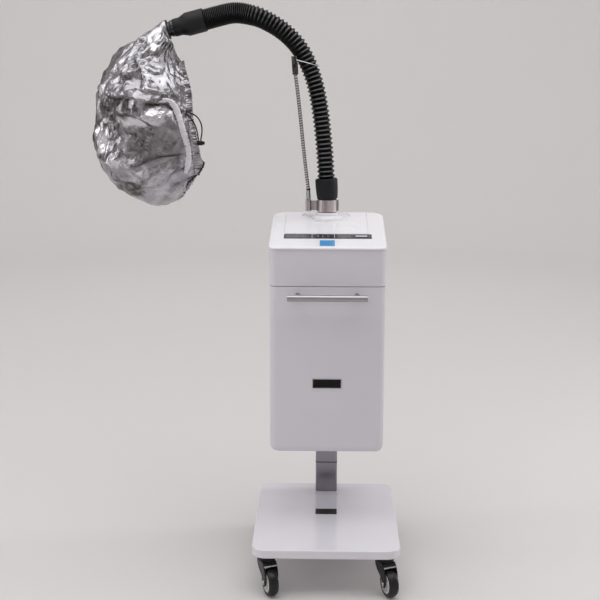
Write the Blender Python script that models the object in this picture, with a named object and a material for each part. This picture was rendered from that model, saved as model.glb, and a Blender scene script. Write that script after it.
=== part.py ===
"""Hair steamer on a wheeled stand, in metres, +Z up.

A cabinet with a water drawer and a boiler stands on a post and four casters.
A ribbed hose, held up by a gooseneck, carries the steam to a foil hood.
"""

import math

import bmesh
import bpy
import numpy
from mathutils import Matrix, Vector

for old_object in list(bpy.data.objects):
    bpy.data.objects.remove(old_object, do_unlink=True)

# Clearances
SEAT_GAP = 0.0003
SLIDE_GAP = 0.0006
SEAM_GAP = 0.0012

# Base plate
BASE_WIDTH = 0.320
BASE_DEPTH = 0.420
BASE_THICK = 0.020
BASE_CORNER = 0.026
BASE_EDGE = 0.003

# Casters
CASTER_INSET = 0.032
CASTER_TURN = math.radians(22)
CASTER_TRAIL = 0.024
CASTER_PLATE_RADIUS = 0.025
CASTER_PLATE_THICK = 0.003
RACE_RADIUS = 0.0195
RACE_HEIGHT = 0.009
KINGPIN_RADIUS = 0.005
KINGPIN_HEAD = 0.003
CROWN_HALF_LENGTH = 0.0185
CROWN_THICK = 0.006
WHEEL_CROWN_GAP = 0.0075
WHEEL_RADIUS = 0.030
WHEEL_WIDTH = 0.0225
WHEEL_ROUND = 0.004
WHEEL_HUB_RADIUS = 0.020
WHEEL_HUB_SINK = 0.002
WHEEL_SIDES = 20
WHEEL_SIDE_GAP = 0.0014
FORK_THICK = 0.003
FORK_EYE_RADIUS = 0.0085
AXLE_RADIUS = 0.003
AXLE_HEAD_RADIUS = 0.0055
AXLE_HEAD_THICK = 0.0025

# Post
POST_WIDTH = 0.051
POST_DEPTH = 0.036
POST_WALL = 0.002
POST_CORNER = 0.004
POST_REAR_SPACE = 0.0075
POST_INSIDE_CABINET = 0.300
FOOT_WIDTH = 0.056
FOOT_DEPTH = 0.064
FOOT_THICK = 0.003
FOOT_CORNER = 0.003

# Cabinet
CABINET_WIDTH = 0.250
CABINET_DEPTH = 0.265
CABINET_SETBACK = 0.020
CABINET_LIFT = 0.173
CABINET_WALL = 0.003
CABINET_FRONT_CORNER = 0.012
CABINET_REAR_CORNER = 0.030
CABINET_EDGE = 0.010
FRONT_HEIGHT = 0.460
DRAWER_FRONT_HEIGHT = 0.3745
DRAWER_FRONT_THICK = 0.018

# Sloped top cover
COVER_SLOPE = math.radians(8.83)
COVER_OVERHANG = 0.002
COVER_RIM = 0.005
COVER_EDGE = 0.0035
COVER_WALL = 0.008
DISH_SIDE = -0.006
DISH_RADIUS = 0.043
DISH_DEPTH = 0.004

# Control strip and its keys, on the slope of the cover
STRIP_WIDTH = 0.192
STRIP_DEPTH = 0.033
STRIP_THICK = 0.0012
STRIP_PROUD = 0.0003
STRIP_SETBACK = 0.0750
STRIP_CORNER = 0.003
KEY_NAMES = ("key_timer", "key_heat", "key_power")
KEY_PLACES = (-0.021, 0.0015, 0.0735)
KEY_WIDTHS = (0.012, 0.012, 0.028)
KEY_DEPTH = 0.016
KEY_HEIGHT = 0.0034
KEY_PROUD = 0.0005
KEY_ROOM = 0.0010

# Handle and nameplate
HANDLE_LENGTH = 0.172
HANDLE_RADIUS = 0.007
HANDLE_REACH = 0.035
HANDLE_DROP = 0.0195
STANDOFF_SPACING = 0.128
STANDOFF_RADIUS = 0.005
NAMEPLATE_WIDTH = 0.0634
NAMEPLATE_HEIGHT = 0.0214
NAMEPLATE_THICK = 0.0012
NAMEPLATE_LIFT = 0.1585

# Drawer tray, runners and water tank
RUNNER_THICK = 0.002
RUNNER_LEDGE = 0.018
RUNNER_RISE = 0.020
RUNNER_LIFT = 0.006
TRAY_HEIGHT = 0.090
TRAY_WALL = 0.002
TRAY_CORNER = 0.008
TRAY_REAR_SPACE = 0.006
TANK_GAP = 0.003
TANK_HEIGHT = 0.200
TANK_WALL = 0.002
TANK_CORNER = 0.014
NECK_RADIUS = 0.022
NECK_HEIGHT = 0.014
CAP_WALL = 0.002
CAP_SKIRT = 0.012

# Equipment shelf, boiler, pump, board
SHELF_LIFT = 0.004
SHELF_THICK = 0.003
BOILER_WIDTH = 0.150
BOILER_DEPTH = 0.116
BOILER_HEIGHT = 0.046
BOILER_WALL = 0.002
BOILER_CORNER = 0.020
BOILER_OUTLET_SETBACK = 0.022
BOILER_OUTLET_RADIUS = 0.016
BOILER_OUTLET_HEIGHT = 0.008
STEAM_PIPE_WALL = 0.002
PUMP_RADIUS = 0.016
PUMP_HEIGHT = 0.016
PUMP_SIDE = 0.060
FEED_RADIUS = 0.004
FEED_REACH = 0.036
FEED_RISE = 0.016
BOARD_WIDTH = 0.100
BOARD_DEPTH = 0.056
BOARD_THICK = 0.0016
BOARD_PARTS_INSET = 0.012
BOARD_PARTS_HEIGHT = 0.014
BOARD_SIDE = 0.040

# Mains inlet with its rocker switch, on the rear wall
INLET_WIDTH = 0.050
INLET_HEIGHT = 0.030
INLET_FLANGE = 0.003
INLET_FLANGE_THICK = 0.002
INLET_BODY = 0.022
INLET_FLOOR = 0.003
INLET_FROM_SIDE = 0.055
INLET_LIFT = 0.060
SOCKET_WIDTH = 0.024
SOCKET_HEIGHT = 0.016
ROCKER_WIDTH = 0.011
ROCKER_LENGTH = 0.018
ROCKER_DEPTH = 0.008
ROCKER_ROOM = 0.002

# Steam outlet, lower cuff and strap clamp
OUTLET_SIDE = -0.0015
OUTLET_SETBACK = 0.035
ARM_CLEARANCE = 0.005
SPIGOT_TAIL = 0.020
SPIGOT_BOSS_RADIUS = 0.0255
SPIGOT_BOSS_TAPER = 0.002
SPIGOT_RADIUS = 0.0168
SPIGOT_WALL = 0.003
SPIGOT_HEIGHT = 0.026
CUFF_NECK_WALL = 0.0032
CUFF_BODY = 0.047
CUFF_RADIUS = 0.0256
CUFF_ROUND = 0.004
CUFF_TAPER = 0.002
CUFF_LEAN = math.radians(3.5)
CLAMP_HEIGHT = 0.027
CLAMP_WALL = 0.0022
STRAP_HEIGHT = 0.022
STRAP_THICK = 0.002
STRAP_SLIT = 0.003
FERRULE_RADIUS = 0.0040
FERRULE_REACH = 0.044
FERRULE_CONE = 0.021
FERRULE_FLARE = 0.0016

# Ribbed hose: route points from the top of the lower cuff, in the plane of the arch
HOSE_RADIUS = 0.0193
HOSE_VALLEY = 0.0168
HOSE_BORE = 0.0135
HOSE_RIBS = 74
HOSE_SPREAD = 0.22
HOSE_ROUTE = (
    (0.0, 0.0), (-0.0024, 0.0389), (-0.0058, 0.0800), (-0.0102, 0.1220), (-0.0160, 0.1630), (-0.0240, 0.2030),
    (-0.0348, 0.2380), (-0.0490, 0.2715), (-0.0660, 0.2975), (-0.0850, 0.3180), (-0.1060, 0.3350),
    (-0.1281, 0.3483), (-0.1505, 0.3590), (-0.1730, 0.3655), (-0.1953, 0.3693), (-0.2150, 0.3690),
    (-0.2364, 0.3646), (-0.2741, 0.3546),
)

# Gooseneck, its tip and the wire loop round the hose
GOOSENECK_RADIUS = 0.0043
GOOSENECK_VALLEY = 0.0037
GOOSENECK_RIBS = 44
GOOSENECK_SWAY = 0.003
TIP_RADIUS = 0.0068
TIP_LENGTH = 0.041
TIP_LEAN = math.radians(4)
TIP_AT_HOSE = 0.474
TIP_ROUND = math.radians(46)
TIP_HOSE_GAP = 0.0015
LOOP_WIRE_RADIUS = 0.0011
LOOP_DROP = 0.007
LOOP_TILT = math.radians(15)
LOOP_OPEN = math.radians(130)

# Upper cuff and nozzle, along the end of the hose
UPPER_BODY = 0.0507
UPPER_RADIUS = 0.0262
UPPER_NECK = 0.0290
UPPER_NECK_WALL = 0.0030
NOZZLE_RADIUS = 0.0165
NOZZLE_WALL = 0.003
NOZZLE_SOCKET = 0.018
NOZZLE_LIP = 0.0015

# Foil hood: sections from the neck down, as left and right ends and half depth
FOIL_THICK = 0.0015
NECK_RING_LENGTH = 0.008
NECK_RING_WALL = 0.003
NECK_RING_PLACE = 0.0098
HOOD_POINTS = 22
HOOD_SECTIONS = (
    ((-0.0300, 0.0040), (0.0201, -0.0405), 0.034),
    ((-0.0716, -0.0244), (0.0291, -0.0647), 0.055),
    ((-0.1169, -0.0556), (0.0385, -0.1000), 0.080),
    ((-0.1370, -0.0899), (0.0680, -0.1400), 0.100),
    ((-0.1542, -0.1352), (0.0920, -0.1850), 0.115),
    ((-0.1670, -0.1900), (0.1040, -0.2350), 0.122),
    ((-0.1665, -0.2350), (0.1040, -0.2750), 0.122),
    ((-0.1552, -0.2862), (0.0900, -0.3150), 0.113),
    ((-0.1380, -0.3280), (0.0620, -0.3450), 0.092),
    ((-0.1058, -0.3648), (0.0250, -0.3750), 0.060),
)
HOOD_BOTTOM = (-0.0350, -0.3980)
OPENING_TOP = (0.0340, -0.1100)
OPENING_TILT = math.radians(5.1)
HEM_WIDTH = 0.010
HEM_THICK = 0.004
DRAWSTRING_SECTION = 4
DRAWSTRING_RADIUS = 0.0010
OUTER_STRAND = (
    (0.0, 0.0, 0.0), (0.004, -0.004, -0.0005), (0.016, -0.007, -0.004), (0.030, -0.009, -0.013),
    (0.0385, -0.010, -0.028), (0.0400, -0.010, -0.045), (0.0370, -0.010, -0.0637),
)
INNER_STRAND = (
    (0.0009, -0.0012, -0.006), (0.0036, -0.0042, -0.0065), (0.0140, -0.0080, -0.016),
    (0.0245, -0.010, -0.035), (0.0325, -0.010, -0.0637),
)
LOCK_RADIUS = 0.0055
LOCK_LENGTH = 0.012
PLUNGER_RADIUS = 0.0038
PLUNGER_SHOWN = 0.005
PLUNGER_TRAVEL = 0.003
PLUNGER_HELD = 0.005

# Heights and places that follow from the sizes above
AXLE_DROP = (
    SEAT_GAP + CASTER_PLATE_THICK + RACE_HEIGHT + SEAT_GAP + CROWN_THICK + WHEEL_CROWN_GAP + WHEEL_RADIUS
)
BASE_BOTTOM = AXLE_DROP + WHEEL_RADIUS
BASE_TOP = BASE_BOTTOM + BASE_THICK
CABINET_BOTTOM = BASE_TOP + CABINET_LIFT
COVER_FRONT_TOP = CABINET_BOTTOM + FRONT_HEIGHT
CABINET_TOP = COVER_FRONT_TOP - COVER_RIM - SEAT_GAP
SEAM_HEIGHT = CABINET_BOTTOM + DRAWER_FRONT_HEIGHT
CABINET_REAR = BASE_DEPTH / 2 - CABINET_SETBACK
CABINET_FRONT = CABINET_REAR - CABINET_DEPTH
CABINET_MIDDLE = (CABINET_FRONT + CABINET_REAR) / 2
POST_PLACE = CABINET_REAR - CABINET_WALL - POST_REAR_SPACE - POST_DEPTH / 2
PANEL_BACK = CABINET_FRONT + DRAWER_FRONT_THICK
OUTLET_PLACE = CABINET_REAR - OUTLET_SETBACK
SHELF_TOP = SEAM_HEIGHT + SHELF_LIFT + SHELF_THICK


def cover_height(place):
    """Height of the cover's sloped top at a place along Y."""
    return COVER_FRONT_TOP + (place - CABINET_FRONT) * math.tan(COVER_SLOPE)


BOSS_TOP = cover_height(CABINET_REAR + COVER_OVERHANG) + ARM_CLEARANCE
CUFF_LOW = BOSS_TOP + SEAT_GAP
CLAMP_LOW = CUFF_LOW + SLIDE_GAP
CUFF_BODY_LOW = CLAMP_LOW + CLAMP_HEIGHT + SLIDE_GAP + CUFF_RADIUS * math.sin(CUFF_LEAN)
CUFF_TOP = CUFF_BODY_LOW + CUFF_BODY
CUFF_NECK_RADIUS = SPIGOT_RADIUS + SEAT_GAP + CUFF_NECK_WALL


def finish(name, colour, roughness, metallic=0.0):
    """A Principled material of one plain colour."""
    material = bpy.data.materials.new(name)
    material.use_nodes = True
    shader = material.node_tree.nodes["Principled BSDF"]
    shader.inputs["Base Color"].default_value = (*colour, 1.0)
    shader.inputs["Roughness"].default_value = roughness
    shader.inputs["Metallic"].default_value = metallic
    material.diffuse_color = (*colour, 1.0)
    return material


def frame(name, parent=None, location=(0, 0, 0), turn=None):
    """An empty that carries pieces, on the axis that they move about."""
    holder = bpy.data.objects.new(name, None)
    bpy.context.scene.collection.objects.link(holder)
    holder.parent = parent
    holder.location = location
    if turn is not None:
        holder.rotation_euler = turn
    return holder


def piece(name, mesh, parent, material, location=(0, 0, 0), turn=(0, 0, 0)):
    """One named sub-part with its own material, held by its parent."""
    mesh.name = name
    body = bpy.data.objects.new(name, mesh)
    bpy.context.scene.collection.objects.link(body)
    body.parent = parent
    body.location = location
    body.rotation_euler = turn
    own = material.copy()
    own.name = name + "_finish"
    mesh.materials.clear()
    mesh.materials.append(own)
    mesh.shade_smooth()
    mesh.set_sharp_from_angle(angle=math.radians(35))
    return body


def cutter(name, mesh, parent, location=(0, 0, 0), turn=(0, 0, 0)):
    """A wire shape that only cuts other pieces."""
    tool = bpy.data.objects.new(name, mesh)
    bpy.context.scene.collection.objects.link(tool)
    tool.parent = parent
    tool.location = location
    tool.rotation_euler = turn
    tool.hide_render = True
    tool.display_type = "WIRE"
    return tool


def carve(body, tool, operation="DIFFERENCE"):
    """Cut a piece with a tool, or keep what lies inside it."""
    modifier = body.modifiers.new(tool.name, "BOOLEAN")
    modifier.object = tool
    modifier.operation = operation
    modifier.solver = "EXACT"


def to_mesh(shape):
    """Close a bmesh into a mesh with its faces pointing out."""
    bmesh.ops.recalc_face_normals(shape, faces=shape.faces)
    mesh = bpy.data.meshes.new("shape")
    shape.to_mesh(mesh)
    shape.free()
    return mesh


def loft(rings, closed=False):
    """Skin rings of equal counts; end rings are capped, or joined to each other."""
    shape = bmesh.new()
    rows = [[shape.verts.new(point) for point in ring] for ring in rings]
    pairs = list(zip(rows, rows[1:]))
    if closed:
        pairs.append((rows[-1], rows[0]))
    else:
        shape.faces.new(rows[0])
        shape.faces.new(rows[-1])
    for low, high in pairs:
        for index in range(len(low)):
            after = (index + 1) % len(low)
            shape.faces.new((low[index], low[after], high[after], high[index]))
    return to_mesh(shape)


def rounded(width, depth, front_radius, rear_radius, height, middle=(0.0, 0.0), steps=4):
    """A level rectangle ring with round corners; front is towards -Y."""
    ring = []
    corners = (
        (-1, -1, front_radius, math.pi), (1, -1, front_radius, 1.5 * math.pi),
        (1, 1, rear_radius, 0.0), (-1, 1, rear_radius, 0.5 * math.pi),
    )
    for side, end, radius, start in corners:
        centre_x = middle[0] + side * (width / 2 - radius)
        centre_y = middle[1] + end * (depth / 2 - radius)
        for step in range(steps + 1):
            angle = start + 0.5 * math.pi * step / steps
            ring.append((centre_x + radius * math.cos(angle), centre_y + radius * math.sin(angle), height))
    return ring


def block(width, depth, corner, low, high, middle=(0.0, 0.0), steps=3):
    """An upright block with round corners."""
    return loft([rounded(width, depth, corner, corner, height, middle, steps) for height in (low, high)])


def soft_block(width, depth, corner, edge, low, high, steps=4):
    """An upright block with round corners and eased upper and lower edges."""
    rings = []
    for inset, height in ((edge, low), (0.3 * edge, low + 0.3 * edge), (0, low + edge),
                          (0, high - edge), (0.3 * edge, high - 0.3 * edge), (edge, high)):
        rings.append(rounded(width - 2 * inset, depth - 2 * inset, corner - inset, corner - inset, height,
                             steps=steps))
    return loft(rings)


def vessel(width, depth, corner, wall, low, shoulder, neck, neck_top, neck_middle, steps=4):
    """An open-necked hollow tank standing on its floor."""
    def body(inset, height):
        turn = corner - inset
        return rounded(width - 2 * inset, depth - 2 * inset, turn, turn, height, steps=steps)

    def mouth(radius, height):
        return rounded(2 * radius, 2 * radius, radius, radius, height, neck_middle, steps)

    return loft([
        body(0, low), body(0, shoulder), mouth(neck, shoulder), mouth(neck, neck_top),
        mouth(neck - wall, neck_top), mouth(neck - wall, shoulder - wall), body(wall, shoulder - wall),
        body(wall, low + wall),
    ])


def circle(radius, height, sides, phase=0.0):
    """A level ring of points."""
    step = 2 * math.pi / sides
    angles = [phase + step * k for k in range(sides)]
    return [(radius * math.cos(angle), radius * math.sin(angle), height) for angle in angles]


def turned(profile, sides=20, phase=0.0, hollow=True):
    """A turned piece from its profile of radius and height, closed on itself if hollow."""
    return loft([circle(radius, height, sides, phase) for radius, height in profile], closed=hollow)


def tube(points, radii, sides_level=2):
    """A closed tube along points, one radius for each point."""
    curve = bpy.data.curves.new("tube", "CURVE")
    curve.dimensions = "3D"
    curve.bevel_depth = 1.0
    curve.bevel_resolution = sides_level
    curve.use_fill_caps = True
    spline = curve.splines.new("POLY")
    spline.points.add(len(points) - 1)
    for point, place, radius in zip(spline.points, points, radii):
        point.co = (*place, 1.0)
        point.radius = radius
    holder = bpy.data.objects.new("tube", curve)
    bpy.context.scene.collection.objects.link(holder)
    mesh = bpy.data.meshes.new_from_object(holder.evaluated_get(bpy.context.evaluated_depsgraph_get()))
    bpy.data.objects.remove(holder)
    bpy.data.curves.remove(curve)
    shape = bmesh.new()
    shape.from_mesh(mesh)
    bpy.data.meshes.remove(mesh)
    bmesh.ops.remove_doubles(shape, verts=shape.verts, dist=1e-6)
    return to_mesh(shape)


def smooth_route(points, samples=400):
    """A smooth curve through route points, as evenly spaced vectors."""
    known = [Vector(point) for point in points]
    padded = [2 * known[0] - known[1]] + known + [2 * known[-1] - known[-2]]
    dense = []
    for before, start, end, after in zip(padded, padded[1:], padded[2:], padded[3:]):
        for step in range(40):
            t = step / 40
            square = 2 * before - 5 * start + 4 * end - after
            cube = 3 * start - before - 3 * end + after
            dense.append(0.5 * (2 * start + (end - before) * t + square * t**2 + cube * t**3))
    dense.append(known[-1])
    return resample(dense, samples)


def resample(points, count):
    """The same route with evenly spaced points."""
    array = numpy.array([tuple(point) for point in points])
    lengths = numpy.concatenate(([0.0], numpy.cumsum(numpy.linalg.norm(numpy.diff(array, axis=0), axis=1))))
    marks = numpy.linspace(0.0, lengths[-1], count)
    columns = [numpy.interp(marks, lengths, array[:, axis]) for axis in range(3)]
    return [Vector(point) for point in zip(*columns)]


def ribbed(route, crest, valley, ribs, end_run, spread):
    """Points and radii of a ribbed tube with straight runs at its ends; spread widens the first ribs."""
    length = sum((after - before).length for before, after in zip(route, route[1:]))
    marks = [0.0]
    for index in range(2 * ribs):
        share = (index + 0.5) / (2 * ribs)
        marks.append(marks[-1] + 1.0 + spread * math.cos(math.pi * share))
    even = numpy.linspace(0.0, length, len(route))
    array = numpy.array([tuple(point) for point in route])
    places = numpy.array(marks) / marks[-1] * length
    columns = [numpy.interp(places, even, array[:, axis]) for axis in range(3)]
    points = [Vector(point) for point in zip(*columns)]
    first, last = points[0], points[-1]
    start_way = (route[1] - route[0]).normalized()
    end_way = (route[-1] - route[-2]).normalized()
    for index, place in enumerate(places):
        if place < end_run:
            points[index] = first + start_way * place
        if length - place < end_run:
            points[index] = last - end_way * (length - place)
    radii = [valley if index % 2 == 0 else crest for index in range(len(points))]
    return points, radii


# Finishes
WHITE = finish("white_gloss", (0.80, 0.79, 0.81), 0.30)
PALE = finish("white_satin", (0.72, 0.71, 0.74), 0.40)
BLACK = finish("black_plastic", (0.012, 0.012, 0.014), 0.45)
RUBBER = finish("black_rubber", (0.015, 0.015, 0.017), 0.70)
STEEL = finish("satin_steel", (0.55, 0.53, 0.53), 0.30, 1.0)
CHROME = finish("chrome", (0.75, 0.75, 0.76), 0.12, 1.0)
FOIL = finish("silver_foil", (0.60, 0.60, 0.61), 0.30, 0.9)
COPPER = finish("boiler_steel", (0.60, 0.58, 0.56), 0.35, 1.0)
GREEN = finish("circuit_board", (0.02, 0.16, 0.07), 0.50)
CLEAR = finish("milky_tank", (0.62, 0.68, 0.72), 0.35)

machine = frame("machine")


# Base plate, with a flat top and underside
def build_base():
    mesh = soft_block(BASE_WIDTH, BASE_DEPTH, BASE_CORNER, BASE_EDGE, BASE_BOTTOM, BASE_TOP, steps=5)
    piece("base_plate", mesh, machine, WHITE)


# Casters: a top plate with its race and kingpin, and a fork that trails the wheel
def caster_plate_mesh():
    race = -SEAT_GAP - CASTER_PLATE_THICK
    crown_low = race - RACE_HEIGHT - SEAT_GAP - CROWN_THICK
    return turned([
        (CASTER_PLATE_RADIUS, -SEAT_GAP), (CASTER_PLATE_RADIUS, race), (RACE_RADIUS, race),
        (RACE_RADIUS, race - RACE_HEIGHT), (KINGPIN_RADIUS, race - RACE_HEIGHT),
        (KINGPIN_RADIUS, crown_low - KINGPIN_HEAD),
    ], sides=16, hollow=False)


def fork_mesh():
    """The fork's side outline, drawn in the plane of the wheel and extruded across it."""
    crown_top = -2 * SEAT_GAP - CASTER_PLATE_THICK - RACE_HEIGHT
    half = WHEEL_WIDTH / 2 + WHEEL_SIDE_GAP + FORK_THICK
    outline = [(CROWN_HALF_LENGTH, crown_top), (CROWN_HALF_LENGTH, crown_top - CROWN_THICK)]
    for step in range(7):
        angle = math.radians(20 - 30 * step)
        outline.append((-CASTER_TRAIL + FORK_EYE_RADIUS * math.cos(angle),
                        -AXLE_DROP + FORK_EYE_RADIUS * math.sin(angle)))
    outline.append((-CROWN_HALF_LENGTH, crown_top - CROWN_THICK))
    outline.append((-CROWN_HALF_LENGTH, crown_top))
    return loft([[(side * half, place, height) for place, height in outline] for side in (-1, 1)])


def wheel_mesh():
    """The wheel, turned about its own axle along Z, with a flat of the tread underneath."""
    half = WHEEL_WIDTH / 2
    rim = WHEEL_RADIUS / math.cos(math.pi / WHEEL_SIDES)
    hub = half - WHEEL_HUB_SINK
    bore = AXLE_RADIUS + SEAT_GAP
    upper = [(bore, hub), (WHEEL_HUB_RADIUS, hub), (WHEEL_HUB_RADIUS + WHEEL_HUB_SINK, half),
             (rim - WHEEL_ROUND, half), (rim - 0.3 * WHEEL_ROUND, half - 0.4 * WHEEL_ROUND),
             (rim, half - WHEEL_ROUND)]
    lower = [(radius, -height) for radius, height in reversed(upper)]
    return turned(upper + lower, sides=WHEEL_SIDES, phase=math.pi / WHEEL_SIDES)


def axle_mesh():
    outer = WHEEL_WIDTH / 2 + WHEEL_SIDE_GAP + FORK_THICK + SEAT_GAP
    half = [(AXLE_RADIUS, outer), (AXLE_HEAD_RADIUS, outer), (AXLE_HEAD_RADIUS, outer + AXLE_HEAD_THICK)]
    return turned([(radius, -height) for radius, height in reversed(half)] + half, sides=10, hollow=False)


def build_caster(name, side, end):
    pivot = (side * (BASE_WIDTH / 2 - CASTER_INSET), end * (BASE_DEPTH / 2 - CASTER_INSET), BASE_BOTTOM)
    across = (0, math.radians(90), 0)
    piece(name + "_plate", caster_plate_mesh(), machine, BLACK, pivot)
    swivel = frame(name + "_swivel", machine, pivot, (0, 0, CASTER_TURN))
    fork = piece(name + "_fork", fork_mesh(), swivel, BLACK)
    axle_place = (0, -CASTER_TRAIL, -AXLE_DROP)
    gap_half = WHEEL_WIDTH / 2 + WHEEL_SIDE_GAP
    crown_low = -2 * SEAT_GAP - CASTER_PLATE_THICK - RACE_HEIGHT - CROWN_THICK
    reach = CASTER_TRAIL + CROWN_HALF_LENGTH + WHEEL_RADIUS
    room = block(2 * gap_half, 2 * reach, 0.001, -AXLE_DROP - WHEEL_RADIUS, crown_low)
    carve(fork, cutter(name + "_wheel_room", room, swivel))
    pin_hole = turned([(KINGPIN_RADIUS + SEAT_GAP, 0), (KINGPIN_RADIUS + SEAT_GAP, crown_low - KINGPIN_HEAD)],
                      sides=16, hollow=False)
    carve(fork, cutter(name + "_pin_hole", pin_hole, swivel))
    across_hole = AXLE_RADIUS + SEAT_GAP
    axle_hole = turned([(across_hole, -2 * gap_half), (across_hole, 2 * gap_half)], sides=10, hollow=False)
    carve(fork, cutter(name + "_axle_hole", axle_hole, swivel, axle_place, across))
    piece(name + "_axle", axle_mesh(), swivel, STEEL, axle_place, across)
    spin = frame(name + "_spin", swivel, axle_place)
    piece(name + "_wheel", wheel_mesh(), spin, RUBBER, turn=across)


# Post: a rectangular tube on a foot flange, running up inside the cabinet's rear
def build_post():
    foot_low = BASE_TOP + SEAT_GAP
    foot_top = foot_low + FOOT_THICK
    place = (0, POST_PLACE, 0)
    piece("post_foot", block(FOOT_WIDTH, FOOT_DEPTH, FOOT_CORNER, foot_low, foot_top), machine, STEEL, place)
    low = foot_top + SEAT_GAP
    high = CABINET_BOTTOM + POST_INSIDE_CABINET
    rings = []
    for inset, height in ((0, low), (0, high), (POST_WALL, high), (POST_WALL, low)):
        corner = POST_CORNER - inset
        rings.append(rounded(POST_WIDTH - 2 * inset, POST_DEPTH - 2 * inset, corner, corner, height, steps=2))
    piece("post", loft(rings, closed=True), machine, STEEL, place)


# Cabinet: one block shape gives the shell, its cavity and the drawer front
def cabinet_ring(inset, height):
    return rounded(CABINET_WIDTH - 2 * inset, CABINET_DEPTH - 2 * inset, CABINET_FRONT_CORNER - inset,
                   CABINET_REAR_CORNER - inset, height, (0, CABINET_MIDDLE))


def cabinet_mesh():
    rings = []
    for step in range(5):
        angle = math.radians(22.5 * step)
        rings.append(cabinet_ring(CABINET_EDGE * (1 - math.sin(angle)),
                                  CABINET_BOTTOM + CABINET_EDGE * (1 - math.cos(angle))))
    rings.append(cabinet_ring(0, CABINET_TOP))
    return loft(rings)


def front_slab(name, back, top):
    """The space of the drawer front: all of the block ahead of a plane and under the seam."""
    margin = 0.05
    low = CABINET_BOTTOM - margin
    depth = back - CABINET_FRONT + margin
    middle = (0, back - depth / 2)
    return cutter(name, block(CABINET_WIDTH + 2 * margin, depth, 0.001, low, top, middle), machine)


def build_cabinet():
    shell = piece("cabinet_shell", cabinet_mesh(), machine, WHITE)
    floor = CABINET_BOTTOM + CABINET_WALL
    cavity = loft([cabinet_ring(CABINET_WALL, height) for height in (floor, CABINET_TOP + CABINET_WALL)])
    carve(shell, cutter("cabinet_cavity", cavity, machine))
    carve(shell, front_slab("drawer_mouth", PANEL_BACK + SEAM_GAP, SEAM_HEIGHT))
    slot = block(POST_WIDTH + 2 * SEAT_GAP, POST_DEPTH + 2 * SEAT_GAP, POST_CORNER + SEAT_GAP,
                 CABINET_BOTTOM - CABINET_EDGE, floor + CABINET_WALL, (0, POST_PLACE), steps=2)
    carve(shell, cutter("post_slot", slot, machine))
    inlet_hole = block(INLET_WIDTH + 2 * SEAT_GAP, INLET_HEIGHT + 2 * SEAT_GAP, 0.002 + SEAT_GAP,
                       -2 * CABINET_WALL, CABINET_WALL)
    carve(shell, cutter("inlet_hole", inlet_hole, machine, inlet_place(), (math.radians(-90), 0, 0)))


# Mains inlet: a flanged socket and switch well set in the rear wall
def inlet_place():
    return (CABINET_WIDTH / 2 - INLET_FROM_SIDE, CABINET_REAR, CABINET_BOTTOM + INLET_LIFT)


def build_inlet():
    rear = (math.radians(-90), 0, 0)
    low = SEAT_GAP
    high = SEAT_GAP + INLET_FLANGE_THICK
    wide = 2 * INLET_FLANGE
    rings = [
        rounded(INLET_WIDTH, INLET_HEIGHT, 0.002, 0.002, -INLET_BODY, steps=2),
        rounded(INLET_WIDTH, INLET_HEIGHT, 0.002, 0.002, low, steps=2),
        rounded(INLET_WIDTH + wide, INLET_HEIGHT + wide, 0.004, 0.004, low, steps=2),
        rounded(INLET_WIDTH + wide, INLET_HEIGHT + wide, 0.004, 0.004, high, steps=2),
    ]
    inlet = piece("mains_inlet", loft(rings), machine, BLACK, inlet_place(), rear)
    floor = INLET_FLOOR - INLET_BODY
    socket_side = -(INLET_WIDTH / 2 - SOCKET_WIDTH / 2 - INLET_FLANGE)
    socket = block(SOCKET_WIDTH, SOCKET_HEIGHT, 0.003, floor, high + INLET_FLANGE, (socket_side, 0))
    carve(inlet, cutter("socket_space", socket, machine, inlet_place(), rear))
    rocker_side = INLET_WIDTH / 2 - ROCKER_WIDTH / 2 - INLET_FLANGE
    well = block(ROCKER_WIDTH + 2 * SEAT_GAP, ROCKER_LENGTH + 2 * ROCKER_ROOM, 0.0005,
                 -ROCKER_DEPTH - ROCKER_ROOM, high + INLET_FLANGE, (rocker_side, 0))
    carve(inlet, cutter("rocker_well", well, machine, inlet_place(), rear))
    x, y, z = inlet_place()
    hinge = frame("rocker_hinge", machine, (x + rocker_side, y, z))
    half = ROCKER_LENGTH / 2
    outline = ((-half, high + 0.3 * ROCKER_DEPTH), (0, high), (half, high + 0.1 * ROCKER_DEPTH),
               (0.6 * half, -ROCKER_DEPTH + ROCKER_ROOM), (-0.6 * half, -ROCKER_DEPTH + ROCKER_ROOM))
    across = ROCKER_WIDTH / 2
    mesh = loft([[(side * across, place, height) for place, height in outline] for side in (-1, 1)])
    piece("rocker_switch", mesh, hinge, BLACK, turn=rear)


# Top cover: a hollow wedge with a dish and a hole at the outlet
def cover_ring(inset, drop):
    ring = cabinet_ring(inset - COVER_OVERHANG, 0.0)
    return [(x, y, cover_height(y) - drop) for x, y, _ in ring]


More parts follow.
